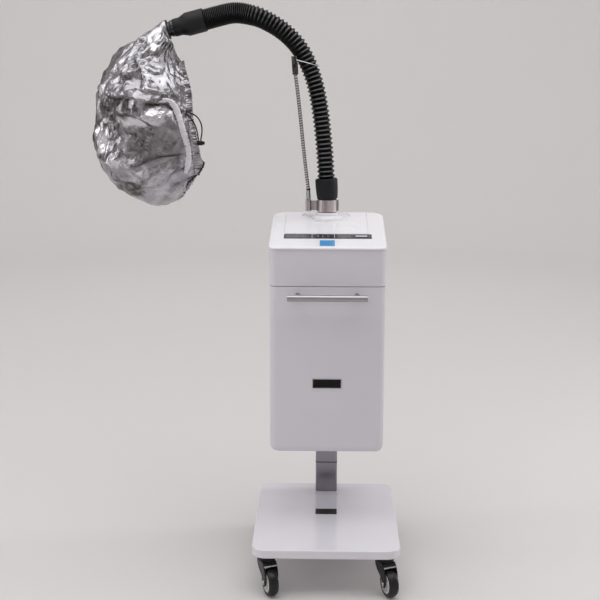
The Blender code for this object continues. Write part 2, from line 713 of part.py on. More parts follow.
def build_cover():
    bottom = COVER_FRONT_TOP - COVER_RIM
    rings = [cabinet_ring(-COVER_OVERHANG, bottom)]
    for step in range(4):
        angle = math.radians(30 * step)
        rings.append(cover_ring(COVER_EDGE * (1 - math.cos(angle)), COVER_EDGE * (1 - math.sin(angle))))
    cover = piece("top_cover", loft(rings), machine, WHITE)
    under = bottom - COVER_WALL
    hollow = loft([cabinet_ring(CABINET_WALL, under - COVER_WALL),
                   cover_ring(CABINET_WALL + COVER_OVERHANG, COVER_WALL)])
    carve(cover, cutter("cover_hollow", hollow, machine))
    axis = (OUTLET_SIDE, OUTLET_PLACE)
    disc = [(DISH_SIDE + x, OUTLET_PLACE + y) for x, y, _ in circle(DISH_RADIUS, 0, 28)]
    dish = loft([[(x, y, cover_height(y) - DISH_DEPTH) for x, y in disc],
                 [(x, y, cover_height(y) + DISH_DEPTH) for x, y in disc]])
    carve(cover, cutter("outlet_dish", dish, machine))
    hole_radius = SPIGOT_BOSS_RADIUS + SEAT_GAP
    hole = turned([(hole_radius, under), (hole_radius, BOSS_TOP)], sides=24, hollow=False)
    carve(cover, cutter("outlet_hole", hole, machine, (*axis, 0)))
    return cover


# Control strip in its pocket, with sprung keys that pass through it
def build_controls(cover):
    place = CABINET_FRONT + STRIP_SETBACK
    face = frame("control_face", machine, (0, place, cover_height(place)), (COVER_SLOPE, 0, 0))
    low = STRIP_PROUD - STRIP_THICK
    film = block(STRIP_WIDTH, STRIP_DEPTH, STRIP_CORNER, low, STRIP_PROUD)
    strip = piece("control_strip", film, face, BLACK)
    pocket = block(STRIP_WIDTH + 2 * SEAT_GAP, STRIP_DEPTH + 2 * SEAT_GAP, STRIP_CORNER + SEAT_GAP,
                   low - SEAT_GAP, COVER_RIM)
    carve(cover, cutter("strip_pocket", pocket, face))
    key_top = STRIP_PROUD + KEY_PROUD
    key_low = key_top - KEY_HEIGHT
    for name, along, width in zip(KEY_NAMES, KEY_PLACES, KEY_WIDTHS):
        centre = frame(name + "_press", face, (along, 0, 0))
        piece(name, block(width, KEY_DEPTH, 0.002, key_low, key_top, steps=2), centre, BLACK)
        hole = block(width + 2 * SEAT_GAP, KEY_DEPTH + 2 * SEAT_GAP, 0.002 + SEAT_GAP, key_low - KEY_ROOM,
                     COVER_RIM, steps=2)
        tool = cutter(name + "_hole", hole, centre)
        carve(strip, tool)
        carve(cover, tool)


# Equipment shelf across the cabinet, with the boiler, pump, feed tube and board on it
def build_equipment():
    low = SHELF_TOP - SHELF_THICK
    shelf = loft([cabinet_ring(CABINET_WALL + SEAT_GAP, height) for height in (low, SHELF_TOP)])
    piece("equipment_shelf", shelf, machine, PALE)
    seat = SHELF_TOP + SEAT_GAP
    boiler_place = OUTLET_PLACE + BOILER_OUTLET_SETBACK - BOILER_DEPTH / 2
    outlet = (0, OUTLET_PLACE - boiler_place)
    shoulder = seat + BOILER_HEIGHT
    neck_top = shoulder + BOILER_OUTLET_HEIGHT
    boiler = vessel(BOILER_WIDTH, BOILER_DEPTH, BOILER_CORNER, BOILER_WALL, seat, shoulder,
                    BOILER_OUTLET_RADIUS, neck_top, outlet)
    piece("boiler", boiler, machine, COPPER, (OUTLET_SIDE, boiler_place, 0))
    pipe_low = neck_top + SEAT_GAP
    pipe_top = cover_height(OUTLET_PLACE) - SPIGOT_TAIL - SEAT_GAP
    inner = BOILER_OUTLET_RADIUS - STEAM_PIPE_WALL
    pipe = turned([(inner, pipe_low), (BOILER_OUTLET_RADIUS, pipe_low), (BOILER_OUTLET_RADIUS, pipe_top),
                   (inner, pipe_top)], sides=16)
    piece("steam_pipe", pipe, machine, STEEL, (OUTLET_SIDE, OUTLET_PLACE, 0))
    boiler_front = boiler_place - BOILER_DEPTH / 2
    pump_place = boiler_front - FEED_REACH
    pump_top = seat + PUMP_HEIGHT
    pump = turned([(PUMP_RADIUS, seat), (PUMP_RADIUS, pump_top - 0.4 * PUMP_HEIGHT),
                   (0.8 * PUMP_RADIUS, pump_top - 0.4 * PUMP_HEIGHT), (0.8 * PUMP_RADIUS, pump_top)],
                  sides=16, hollow=False)
    piece("pump", pump, machine, BLACK, (-PUMP_SIDE, pump_place, 0))
    feed_low = pump_top + SEAT_GAP
    bend = FEED_REACH - SEAT_GAP - FEED_RADIUS
    feed = [(-PUMP_SIDE, pump_place, feed_low)]
    for step in range(9):
        angle = math.radians(90 * step / 8)
        feed.append((-PUMP_SIDE, pump_place + bend * (1 - math.cos(angle)),
                     feed_low + FEED_RADIUS + FEED_RISE * math.sin(angle)))
    feed.append((-PUMP_SIDE, pump_place + bend + FEED_RADIUS, feed_low + FEED_RADIUS + FEED_RISE))
    piece("feed_tube", tube(feed, [FEED_RADIUS] * len(feed)), machine, CLEAR)
    parts_low = seat + BOARD_THICK
    parts_top = parts_low + BOARD_PARTS_HEIGHT
    inset = 2 * BOARD_PARTS_INSET
    board = loft([
        rounded(BOARD_WIDTH, BOARD_DEPTH, 0.002, 0.002, seat, steps=1),
        rounded(BOARD_WIDTH, BOARD_DEPTH, 0.002, 0.002, parts_low, steps=1),
        rounded(BOARD_WIDTH - inset, BOARD_DEPTH - inset, 0.002, 0.002, parts_low, steps=1),
        rounded(BOARD_WIDTH - inset, BOARD_DEPTH - inset, 0.002, 0.002, parts_top, steps=1),
    ])
    board_place = min(pump_place, boiler_front - BOARD_DEPTH / 2 - FEED_RADIUS)
    piece("control_board", board, machine, GREEN, (BOARD_SIDE, board_place, 0))


# Drawer: front, handle, nameplate, tray on its runners, and the water tank
def build_drawer():
    slide = frame("drawer_slide", machine, (0, CABINET_FRONT, 0))
    front = piece("drawer_front", cabinet_mesh(), slide, WHITE, (0, -CABINET_FRONT, 0))
    carve(front, front_slab("drawer_front_space", PANEL_BACK, SEAM_HEIGHT - SEAM_GAP), "INTERSECT")
    bar_height = SEAM_HEIGHT - HANDLE_DROP
    along = (0, math.radians(90), 0)
    half = HANDLE_LENGTH / 2
    ease = 0.1 * HANDLE_RADIUS
    bar = turned([(HANDLE_RADIUS - ease, -half), (HANDLE_RADIUS, ease - half), (HANDLE_RADIUS, half - ease),
                  (HANDLE_RADIUS - ease, half)], sides=16, hollow=False)
    piece("handle_bar", bar, slide, STEEL, (0, -HANDLE_REACH, bar_height), along)
    bar_face = HANDLE_REACH - HANDLE_RADIUS - SEAT_GAP
    for name, side in (("handle_standoff_left", -1), ("handle_standoff_right", 1)):
        standoff = turned([(STANDOFF_RADIUS, SEAT_GAP), (STANDOFF_RADIUS, bar_face)], sides=12, hollow=False)
        place = (side * STANDOFF_SPACING / 2, 0, bar_height)
        piece(name, standoff, slide, STEEL, place, (math.radians(90), 0, 0))
    plate = block(NAMEPLATE_WIDTH, NAMEPLATE_HEIGHT, 0.001, SEAT_GAP, SEAT_GAP + NAMEPLATE_THICK, steps=1)
    plate_place = (0, 0, CABINET_BOTTOM + NAMEPLATE_LIFT)
    piece("nameplate", plate, slide, BLACK, plate_place, (math.radians(90), 0, 0))

    wall_inside = CABINET_WIDTH / 2 - CABINET_WALL
    runner_low = CABINET_BOTTOM + CABINET_WALL + RUNNER_LIFT
    tray_low = runner_low + RUNNER_THICK + SEAT_GAP
    tray_front = PANEL_BACK + SEAT_GAP
    tray_rear = POST_PLACE - POST_DEPTH / 2 - TRAY_REAR_SPACE
    tray_depth = tray_rear - tray_front
    tray_width = 2 * (wall_inside - 2 * SEAT_GAP - RUNNER_THICK - SLIDE_GAP)
    tray_middle = (tray_front + tray_rear) / 2
    rings = []
    for inset, height in ((0, tray_low), (0, tray_low + TRAY_HEIGHT), (TRAY_WALL, tray_low + TRAY_HEIGHT),
                          (TRAY_WALL, tray_low + TRAY_WALL)):
        corner = TRAY_CORNER - inset
        rings.append(rounded(tray_width - 2 * inset, tray_depth - 2 * inset, corner, corner, height, steps=3))
    piece("drawer_tray", loft(rings), slide, PALE, (0, tray_middle - CABINET_FRONT, 0))

    runner_front = PANEL_BACK + 2 * SEAM_GAP
    runner_rear = CABINET_REAR - CABINET_REAR_CORNER
    for name, side in (("drawer_runner_left", -1), ("drawer_runner_right", 1)):
        outer = wall_inside - SEAT_GAP
        runner_top = runner_low + RUNNER_RISE
        section = ((outer, runner_low), (outer, runner_top), (outer - RUNNER_THICK, runner_top),
                   (outer - RUNNER_THICK, runner_low + RUNNER_THICK),
                   (outer - RUNNER_LEDGE, runner_low + RUNNER_THICK), (outer - RUNNER_LEDGE, runner_low))
        runner = loft([[(side * x, place, z) for x, z in section] for place in (runner_front, runner_rear)])
        piece(name, runner, machine, STEEL)

    tank_low = tray_low + TRAY_WALL + SEAT_GAP
    shoulder = tank_low + TANK_HEIGHT
    neck_top = shoulder + NECK_HEIGHT
    tank_side = 2 * (TRAY_WALL + TANK_GAP)
    tank_depth = tray_depth - tank_side
    neck_middle = (0, -tank_depth / 2 + TANK_CORNER + NECK_RADIUS)
    tank = vessel(tray_width - tank_side, tank_depth, TANK_CORNER, TANK_WALL, tank_low, shoulder, NECK_RADIUS,
                  neck_top, neck_middle)
    tank_place = tray_middle - CABINET_FRONT
    piece("water_tank", tank, slide, CLEAR, (0, tank_place, 0))
    cap_turn = frame("tank_cap_turn", slide, (0, tank_place + neck_middle[1], 0))
    inner = NECK_RADIUS + SEAT_GAP
    outer = inner + CAP_WALL
    roof = neck_top + SEAT_GAP
    skirt = roof - CAP_SKIRT
    cap = turned([(outer, roof + CAP_WALL), (outer, skirt), (inner, skirt), (inner, roof)],
                 sides=20, hollow=False)
    piece("tank_cap", cap, cap_turn, BLACK)


# Steam outlet on the cover
def build_outlet():
    low = cover_height(OUTLET_PLACE) - SPIGOT_TAIL
    bore = SPIGOT_RADIUS - SPIGOT_WALL
    ease = SPIGOT_BOSS_TAPER
    spigot = turned([
        (bore, low), (SPIGOT_BOSS_RADIUS, low), (SPIGOT_BOSS_RADIUS, BOSS_TOP - ease),
        (SPIGOT_BOSS_RADIUS - ease, BOSS_TOP), (SPIGOT_RADIUS, BOSS_TOP),
        (SPIGOT_RADIUS, BOSS_TOP + SPIGOT_HEIGHT), (bore, BOSS_TOP + SPIGOT_HEIGHT),
    ], sides=24)
    piece("outlet_spigot", spigot, machine, WHITE, (OUTLET_SIDE, OUTLET_PLACE, 0))


# Arm: everything that swivels on the spigot
def build_lower_cuff(arm):
    """The cuff on the spigot, its body leaning the way the hose goes; gives where the hose starts."""
    socket = SPIGOT_RADIUS + SEAT_GAP
    socket_top = BOSS_TOP + SPIGOT_HEIGHT + SLIDE_GAP
    low_radius = CUFF_RADIUS - CUFF_TAPER
    cuff = turned([
        (socket, CUFF_LOW), (CUFF_NECK_RADIUS, CUFF_LOW), (CUFF_NECK_RADIUS, CUFF_BODY_LOW),
        (low_radius, CUFF_BODY_LOW), (CUFF_RADIUS, CUFF_BODY_LOW + 0.5 * CUFF_BODY),
        (CUFF_RADIUS, CUFF_TOP - CUFF_ROUND), (CUFF_RADIUS - CUFF_ROUND, CUFF_TOP),
        (HOSE_BORE, CUFF_TOP), (HOSE_BORE, socket_top + SLIDE_GAP),
        (socket, socket_top),
    ], sides=24)
    pivot = Vector((0, 0, CUFF_BODY_LOW))
    lean = Matrix.Rotation(-CUFF_LEAN, 3, "Y")
    for vertex in cuff.vertices:
        if vertex.co.z > CUFF_BODY_LOW - SEAT_GAP:
            vertex.co = pivot + lean @ (vertex.co - pivot)
    piece("lower_cuff", cuff, arm, BLACK)
    return pivot + lean @ Vector((0, 0, CUFF_BODY + SEAT_GAP))


def build_clamp(arm):
    """A band round the cuff's neck and a small loop round the ferrule, joined by two straps."""
    high = CLAMP_LOW + CLAMP_HEIGHT
    band_inner = CUFF_NECK_RADIUS + SEAT_GAP
    band_outer = band_inner + CLAMP_WALL
    loop_inner = FERRULE_RADIUS + SEAT_GAP
    loop_outer = loop_inner + STRAP_THICK
    band = turned([(band_outer, CLAMP_LOW), (band_outer, high)], sides=28, hollow=False)
    clamp = piece("strap_clamp", band, arm, STEEL)
    strap_low = CLAMP_LOW + (CLAMP_HEIGHT - STRAP_HEIGHT) / 2
    strap_high = strap_low + STRAP_HEIGHT
    straps = block(FERRULE_REACH, STRAP_SLIT + 2 * STRAP_THICK, 0.0005, strap_low, strap_high,
                   (-FERRULE_REACH / 2, 0), steps=1)
    carve(clamp, cutter("clamp_straps", straps, arm), "UNION")
    loop = turned([(loop_outer, CLAMP_LOW + SEAT_GAP), (loop_outer, high - SEAT_GAP)], sides=16, hollow=False)
    carve(clamp, cutter("clamp_loop", loop, arm, (-FERRULE_REACH, 0, 0)), "UNION")
    slit = block(FERRULE_REACH, STRAP_SLIT, 0.0005, CLAMP_LOW - STRAP_THICK, high + STRAP_THICK,
                 (-FERRULE_REACH / 2, 0), steps=1)
    carve(clamp, cutter("clamp_slit", slit, arm))
    for name, radius, along in (("clamp_bore", band_inner, 0), ("loop_bore", loop_inner, -FERRULE_REACH)):
        ends = [(radius, CLAMP_LOW - STRAP_THICK), (radius, high + STRAP_THICK)]
        hole = turned(ends, sides=24, hollow=False)
        carve(clamp, cutter(name, hole, arm, (along, 0, 0)))


def build_hose(arm, start):
    """The ribbed hose with its bore; gives its route for what hangs on it."""
    route = smooth_route([start + Vector((x, 0, z)) for x, z in HOSE_ROUTE])
    points, radii = ribbed(route, HOSE_RADIUS, HOSE_VALLEY, HOSE_RIBS, 2 * HOSE_RADIUS, HOSE_SPREAD)
    hose = piece("hose", tube(points, radii), arm, RUBBER)
    bore = resample(points, 30)
    bore[0] = bore[0] + (bore[0] - bore[1]).normalized() * HOSE_RADIUS
    bore[-1] = bore[-1] + (bore[-1] - bore[-2]).normalized() * HOSE_RADIUS
    carve(hose, cutter("hose_bore", tube(bore, [HOSE_BORE] * len(bore)), arm))
    return points


def build_gooseneck(arm, hose_points):
    """Ferrule, flexible neck and tip; the tip's top lies against the hose."""
    pin_low = CLAMP_LOW
    pin_top = CLAMP_LOW + CLAMP_HEIGHT + SEAT_GAP
    cone_top = pin_top + FERRULE_CONE
    foot = Vector((-FERRULE_REACH, 0, cone_top + SEAT_GAP))
    ferrule = turned([(FERRULE_RADIUS, pin_low), (FERRULE_RADIUS, pin_top),
                      (FERRULE_RADIUS + FERRULE_FLARE, pin_top), (GOOSENECK_RADIUS, cone_top)],
                     sides=16, hollow=False)
    piece("gooseneck_ferrule", ferrule, arm, CHROME, (-FERRULE_REACH, 0, 0))
    at = round(TIP_AT_HOSE * (len(hose_points) - 1))
    way = (hose_points[at + 1] - hose_points[at - 1]).normalized()
    outward = Vector((-way.z, 0, way.x)) * math.cos(TIP_ROUND) + Vector((0, -math.sin(TIP_ROUND), 0))
    tip_top = hose_points[at] + outward * (HOSE_RADIUS + TIP_HOSE_GAP + TIP_RADIUS)
    tip_way = Vector((-math.sin(TIP_LEAN), 0, math.cos(TIP_LEAN)))
    neck_top = tip_top - tip_way * (TIP_LENGTH + SEAT_GAP)
    run = 2 * GOOSENECK_RADIUS
    marks = [foot, foot + Vector((0, 0, run))]
    for step in range(1, 8):
        share = step / 8
        sway = Vector((-GOOSENECK_SWAY * math.sin(2 * math.pi * share), 0, 0))
        marks.append(foot.lerp(neck_top, share) + sway)
    marks += [neck_top - tip_way * run, neck_top]
    points, radii = ribbed(smooth_route(marks), GOOSENECK_RADIUS, GOOSENECK_VALLEY, GOOSENECK_RIBS, run, 0.0)
    piece("gooseneck", tube(points, radii), arm, CHROME)
    ease = 0.25 * TIP_RADIUS
    tip = turned([(TIP_RADIUS - ease, 0), (TIP_RADIUS, ease), (TIP_RADIUS, TIP_LENGTH - ease),
                  (TIP_RADIUS - ease, TIP_LENGTH)], sides=16, hollow=False)
    piece("gooseneck_tip", tip, arm, CHROME, tip_top - tip_way * TIP_LENGTH, (0, -TIP_LEAN, 0))
    return tip_top, tip_way


def build_wire_loop(arm, hose_points, tip_top, tip_way):
    """A wire from one side of the tip, round the hose in a tilted plane, to the other side of the tip."""
    across = Vector((math.cos(LOOP_TILT), 0, -math.sin(LOOP_TILT)))
    level = Vector((math.sin(LOOP_TILT), 0, math.cos(LOOP_TILT)))
    start = tip_top - tip_way * LOOP_DROP
    heights = [abs((point - start).dot(level)) for point in hose_points[1:-1]]
    crossing = 1 + heights.index(min(heights))
    offset = (hose_points[crossing] - start).dot(level)
    way = (hose_points[crossing + 1] - hose_points[crossing - 1]).normalized()
    centre = hose_points[crossing] - way * (offset / way.dot(level))
    grip = HOSE_RADIUS + SEAT_GAP
    long_half = grip / way.dot(level) + 2 * LOOP_WIRE_RADIUS
    short_half = grip + 2 * LOOP_WIRE_RADIUS
    tip_along = (start - centre).dot(across)
    tip_side = start.y - centre.y
    facing = math.atan2(tip_side / short_half, tip_along / long_half)
    away = math.hypot(tip_along, tip_side)
    beside = TIP_RADIUS + SEAT_GAP + LOOP_WIRE_RADIUS
    flank = across * (-tip_side / away * beside) + Vector((0, tip_along / away * beside, 0))
    points = [start + flank]
    for step in range(21):
        angle = facing + math.pi + LOOP_OPEN * (step / 10 - 1)
        aside = Vector((0, short_half * math.sin(angle), 0))
        points.append(centre + across * (long_half * math.cos(angle)) + aside)
    points.append(start - flank)
    piece("wire_loop", tube(points, [LOOP_WIRE_RADIUS] * len(points)), arm, CHROME)


def build_upper_end(arm, hose_points):
    """Stepped cuff and nozzle in line with the end of the hose; gives the nozzle's frame."""
    way = (hose_points[-1] - hose_points[-2]).normalized()
    end = frame("hose_end", arm, hose_points[-1] + way * SEAT_GAP)
    end.rotation_euler = way.to_track_quat("Z", "Y").to_euler()
    neck_radius = NOZZLE_RADIUS + SEAT_GAP + UPPER_NECK_WALL
    neck_end = UPPER_BODY + UPPER_NECK
    socket = neck_end - NOZZLE_SOCKET
    cuff = turned([
        (HOSE_BORE, 0), (UPPER_RADIUS - CUFF_ROUND, 0), (UPPER_RADIUS, CUFF_ROUND),
        (UPPER_RADIUS, UPPER_BODY - CUFF_ROUND),
        (UPPER_RADIUS - 0.5 * CUFF_ROUND, UPPER_BODY), (neck_radius, UPPER_BODY), (neck_radius, neck_end),
        (NOZZLE_RADIUS + SEAT_GAP, neck_end), (NOZZLE_RADIUS + SEAT_GAP, socket), (HOSE_BORE, socket),
    ], sides=24)
    piece("upper_cuff", cuff, end, BLACK)
    nozzle_end = neck_end + NECK_RING_PLACE + NECK_RING_LENGTH / 2 + SEAT_GAP + 1.5 * NOZZLE_LIP
    bore = NOZZLE_RADIUS - NOZZLE_WALL
    lip = NOZZLE_RADIUS + NOZZLE_LIP
    nozzle = turned([
        (bore, socket + SEAT_GAP), (NOZZLE_RADIUS, socket + SEAT_GAP),
        (NOZZLE_RADIUS, nozzle_end - 1.5 * NOZZLE_LIP),
        (lip, nozzle_end - NOZZLE_LIP), (lip, nozzle_end), (bore, nozzle_end),
    ], sides=20)
    piece("nozzle", nozzle, end, BLACK)
    return hose_points[-1] + way * (SEAT_GAP + neck_end + NECK_RING_PLACE), way


def hood_section(left, right, half_depth):
    """One ring of the hood, an ellipse on the line from left to right."""
    middle = Vector(((left[0] + right[0]) / 2, 0, (left[1] + right[1]) / 2))
    half = Vector(((right[0] - left[0]) / 2, 0, (right[1] - left[1]) / 2))
    ring = []
    for index in range(HOOD_POINTS):
        angle = 2 * math.pi * (index + 0.5) / HOOD_POINTS
        ring.append(middle + half * math.cos(angle) + Vector((0, half_depth * math.sin(angle), 0)))
    return ring


def hood_skin(way):
    """The hood's outer skin, open at its neck and closed at its foot."""
    mouth = NOZZLE_RADIUS + SEAT_GAP + NECK_RING_WALL + SEAT_GAP + FOIL_THICK
    side = Vector((-way.z, 0, way.x)) * mouth
    rings = []
    for place in (-NECK_RING_LENGTH / 2, NECK_RING_LENGTH / 2 + SEAT_GAP):
        near, far = way * place - side, way * place + side
        rings.append(hood_section((near.x, near.z), (far.x, far.z), mouth))
    rings += [hood_section(*section) for section in HOOD_SECTIONS]
    shape = bmesh.new()
    rows = [[shape.verts.new(point) for point in ring] for ring in rings]
    foot = shape.verts.new((HOOD_BOTTOM[0], 0, HOOD_BOTTOM[1]))
    for index in range(HOOD_POINTS):
        after = (index + 1) % HOOD_POINTS
        for low, high in zip(rows, rows[1:]):
            shape.faces.new((low[index], low[after], high[after], high[index]))
        shape.faces.new((rows[-1][index], rows[-1][after], foot))
    return to_mesh(shape)


def thicken(body, thickness, offset):
    modifier = body.modifiers.new("wall", "SOLIDIFY")
    modifier.thickness = thickness
    modifier.offset = offset


def opening_space(name, hood, start, end):
    """A slab across the hood, between two distances past the plane of its opening."""
    size = 1.0
    mesh = block(end - start, size, 0.0001, -size / 2, size / 2, ((start + end) / 2, 0), steps=1)
    return cutter(name, mesh, hood, (OPENING_TOP[0], 0, OPENING_TOP[1]), (0, -OPENING_TILT, 0))


def build_hood(arm, neck, way):
    """Foil hood on its neck ring, with its hem, drawstring and cord lock."""
    hood = frame("hood_swivel", arm, neck)
    skin = hood_skin(way)
    shell = piece("hood_shell", skin, hood, FOIL)
    thicken(shell, FOIL_THICK, -1)
    carve(shell, opening_space("hood_opening", hood, 0.0, 0.5))
    hem = piece("hood_hem", skin.copy(), hood, FOIL)
    thicken(hem, HEM_THICK, 0)
    carve(hem, opening_space("hem_space", hood, SEAT_GAP, SEAT_GAP + HEM_WIDTH), "INTERSECT")
    inner = NOZZLE_RADIUS + SEAT_GAP
    outer = inner + NECK_RING_WALL
    half = NECK_RING_LENGTH / 2
    ring = turned([(inner, -half), (outer, -half), (outer, half), (inner, half)], sides=20)
    piece("hood_neck_ring", ring, hood, RUBBER, turn=way.to_track_quat("Z", "Y").to_euler())
    build_drawstring(hood)


def build_drawstring(hood):
    """Two strands that leave the near side of the hem, and the sprung lock that they run into."""
    ring = hood_section(*HOOD_SECTIONS[DRAWSTRING_SECTION])
    across = Vector((math.cos(OPENING_TILT), 0, math.sin(OPENING_TILT)))
    top = Vector((OPENING_TOP[0], 0, OPENING_TOP[1]))
    leave = top
    for point, after in zip(ring, ring[1:]):
        start = (point - top).dot(across) - SEAT_GAP - HEM_WIDTH / 2
        end = (after - top).dot(across) - SEAT_GAP - HEM_WIDTH / 2
        if start < 0 <= end:
            outward = Vector((after.y - point.y, point.x - after.x, 0)).normalized()
            leave = point.lerp(after, start / (start - end)) + outward * (HEM_THICK / 2 + SEAT_GAP)
    for name, strand in (("drawstring_outer", OUTER_STRAND), ("drawstring_inner", INNER_STRAND)):
        route = smooth_route([leave + Vector(point) for point in strand], 14)
        piece(name, tube(route, [DRAWSTRING_RADIUS] * len(route)), hood, BLACK)
    outer_end = Vector(OUTER_STRAND[-1])
    inner_end = Vector(INNER_STRAND[-1])
    centre = leave + (outer_end + inner_end) / 2 - Vector((0, 0, LOCK_RADIUS + SEAT_GAP))
    lock = frame("cord_lock", hood, centre)
    half_length = LOCK_LENGTH / 2
    bore = PLUNGER_RADIUS + SEAT_GAP
    plunger_end = half_length - PLUNGER_HELD
    floor = plunger_end - PLUNGER_TRAVEL - SEAT_GAP
    barrel = turned([(LOCK_RADIUS, -half_length), (LOCK_RADIUS, half_length),
                     (bore, half_length), (bore, floor)], sides=14, hollow=False)
    along = (0, math.radians(90), 0)
    piece("cord_lock_body", barrel, lock, BLACK, turn=along)
    press = frame("cord_lock_press", lock, (half_length, 0, 0))
    plunger = turned([(PLUNGER_RADIUS, -PLUNGER_HELD), (PLUNGER_RADIUS, 0.8 * PLUNGER_SHOWN),
                      (0.8 * PLUNGER_RADIUS, PLUNGER_SHOWN)], sides=12, hollow=False)
    piece("cord_lock_plunger", plunger, press, BLACK, turn=along)


def stand_on_origin():
    """Move the machine so that the middle of its footprint box, on the floor, is the origin."""
    bpy.context.view_layer.update()
    graph = bpy.context.evaluated_depsgraph_get()
    low = Vector((math.inf,) * 3)
    high = Vector((-math.inf,) * 3)
    for body in bpy.context.scene.objects:
        if body.type != "MESH" or body.hide_render or body.name.startswith(("drawstring", "cord_lock")):
            continue
        shown = body.evaluated_get(graph)
        for vertex in shown.data.vertices:
            place = shown.matrix_world @ vertex.co
            low = Vector(map(min, low, place))
            high = Vector(map(max, high, place))
    machine.location = (-(low.x + high.x) / 2, -(low.y + high.y) / 2, -low.z)
    bpy.context.view_layer.update()


build_base()
for caster, side_sign, end_sign in (("caster_front_left", -1, -1), ("caster_front_right", 1, -1),
                                    ("caster_rear_left", -1, 1), ("caster_rear_right", 1, 1)):
    build_caster(caster, side_sign, end_sign)
build_post()
build_cabinet()
build_inlet()
build_controls(build_cover())
build_equipment()
build_drawer()
build_outlet()
arm_swivel = frame("arm_swivel", machine, (OUTLET_SIDE, OUTLET_PLACE, 0))
hose_start = build_lower_cuff(arm_swivel)
build_clamp(arm_swivel)
hose_line = build_hose(arm_swivel, hose_start)
build_wire_loop(arm_swivel, hose_line, *build_gooseneck(arm_swivel, hose_line))
build_hood(arm_swivel, *build_upper_end(arm_swivel, hose_line))
stand_on_origin()
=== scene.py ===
import math

import bmesh
import bpy
import numpy as np
from mathutils import Matrix, Vector


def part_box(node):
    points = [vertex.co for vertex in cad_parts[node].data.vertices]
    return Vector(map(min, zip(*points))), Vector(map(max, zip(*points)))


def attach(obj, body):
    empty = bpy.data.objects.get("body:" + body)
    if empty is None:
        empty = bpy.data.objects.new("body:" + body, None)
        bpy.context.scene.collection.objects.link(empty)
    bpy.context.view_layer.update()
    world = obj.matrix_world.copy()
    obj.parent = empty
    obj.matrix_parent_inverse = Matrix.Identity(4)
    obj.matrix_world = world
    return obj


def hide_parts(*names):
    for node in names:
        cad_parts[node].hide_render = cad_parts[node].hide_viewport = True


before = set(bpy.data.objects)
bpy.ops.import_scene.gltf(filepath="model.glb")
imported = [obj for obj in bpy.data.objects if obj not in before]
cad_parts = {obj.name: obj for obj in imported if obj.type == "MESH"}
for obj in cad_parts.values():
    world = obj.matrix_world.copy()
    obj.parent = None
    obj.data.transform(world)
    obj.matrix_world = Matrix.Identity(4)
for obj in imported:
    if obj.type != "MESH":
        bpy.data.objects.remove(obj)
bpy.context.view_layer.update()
scene = bpy.context.scene
scene.view_settings.view_transform = "Standard"

# Camera: one long lens at about the height of the hood, level with the front of the cabinet,
# looking a little down and to the left, as the photograph was taken.
LENS = 74.283
SENSOR = 36
CAMERA_PLACE = Vector((0.18585, -2.71021, 1.1557))
PITCH_DOWN = math.radians(11.5138)
YAW_LEFT = math.radians(1.3019)
ROLL = math.radians(0.0999)
ahead = Vector((-math.sin(YAW_LEFT) * math.cos(PITCH_DOWN),
                math.cos(YAW_LEFT) * math.cos(PITCH_DOWN), -math.sin(PITCH_DOWN)))
level = Vector((math.cos(YAW_LEFT), math.sin(YAW_LEFT), 0))
above = level.cross(ahead)
camera_right = level * math.cos(ROLL) + above * math.sin(ROLL)
camera_up = above * math.cos(ROLL) - level * math.sin(ROLL)
bpy.ops.object.select_all(action="DESELECT")
bpy.ops.object.camera_add()
camera = bpy.context.object
camera.data.lens = LENS
camera.data.sensor_width = SENSOR
turned_to = Matrix((camera_right, camera_up, -ahead)).transposed().to_4x4()
camera.matrix_world = Matrix.Translation(CAMERA_PLACE) @ turned_to
scene.camera = camera


# Studio: a round seamless sweep of pale matt paper, floor and wall in one, under a large soft
# box with a front panel and two side strips. The lamps are left out of the camera's sight.
def srgb(code):
    """A hex sRGB colour as linear values with full alpha."""
    parts = [int(code[index:index + 2], 16) / 255 for index in (0, 2, 4)]
    return (*[p / 12.92 if p <= 0.04045 else ((p + 0.055) / 1.055) ** 2.4 for p in parts], 1.0)


def start_material(name, colour, **sockets):
    """A new node material: a Principled shader of one colour, its other sockets set by name."""
    material = bpy.data.materials.new(name)
    material.use_nodes = True
    shader = material.node_tree.nodes["Principled BSDF"]
    shader.inputs["Base Color"].default_value = srgb(colour)
    for socket, value in sockets.items():
        shader.inputs[socket.replace("_", " ")].default_value = value
    return material


def focus(piece):
    """Selects one piece and nothing else."""
    bpy.ops.object.select_all(action="DESELECT")
    piece.select_set(True)
    bpy.context.view_layer.objects.active = piece


def draw(name, points, edges=(), faces=()):
    """A new piece from drawn points, joined by edges or faces."""
    mesh = bpy.data.meshes.new(name)
    mesh.from_pydata(points, edges, faces)
    piece = bpy.data.objects.new(name, mesh)
    scene.collection.objects.link(piece)
    focus(piece)
    return piece


def lay(piece, matrix):
    """Moves a piece and leaves its place in its mesh."""
    piece.matrix_world = matrix
    focus(piece)
    bpy.ops.object.transform_apply(location=True, rotation=True, scale=True)


def stood(place, way):
    """A matrix that stands the Z axis at a place, along a way."""
    return Matrix.Translation(place) @ Vector(way).to_track_quat("Z", "Y").to_matrix().to_4x4()


def turn(name, profile, place=(0, 0, 0), way=(0, 0, 1), steps=64, closed=False):
    """A drawn profile of (radius, height) pairs, spun about an axis through a place."""
    runs = [(index, index + 1) for index in range(len(profile) - 1)]
    if closed:
        runs.append((len(profile) - 1, 0))
    piece = draw(name, [(radius, 0, height) for radius, height in profile], runs)
    bpy.ops.object.mode_set(mode="EDIT")
    bpy.ops.mesh.select_all(action="SELECT")
    bpy.ops.mesh.spin(steps=steps, angle=2 * math.pi, center=(0, 0, 0), axis=(0, 0, 1))
    bpy.ops.mesh.select_all(action="SELECT")
    bpy.ops.mesh.remove_doubles(threshold=1e-6)
    bpy.ops.mesh.normals_make_consistent(inside=False)
    bpy.ops.object.mode_set(mode="OBJECT")
    lay(piece, stood(place, way))
    return piece


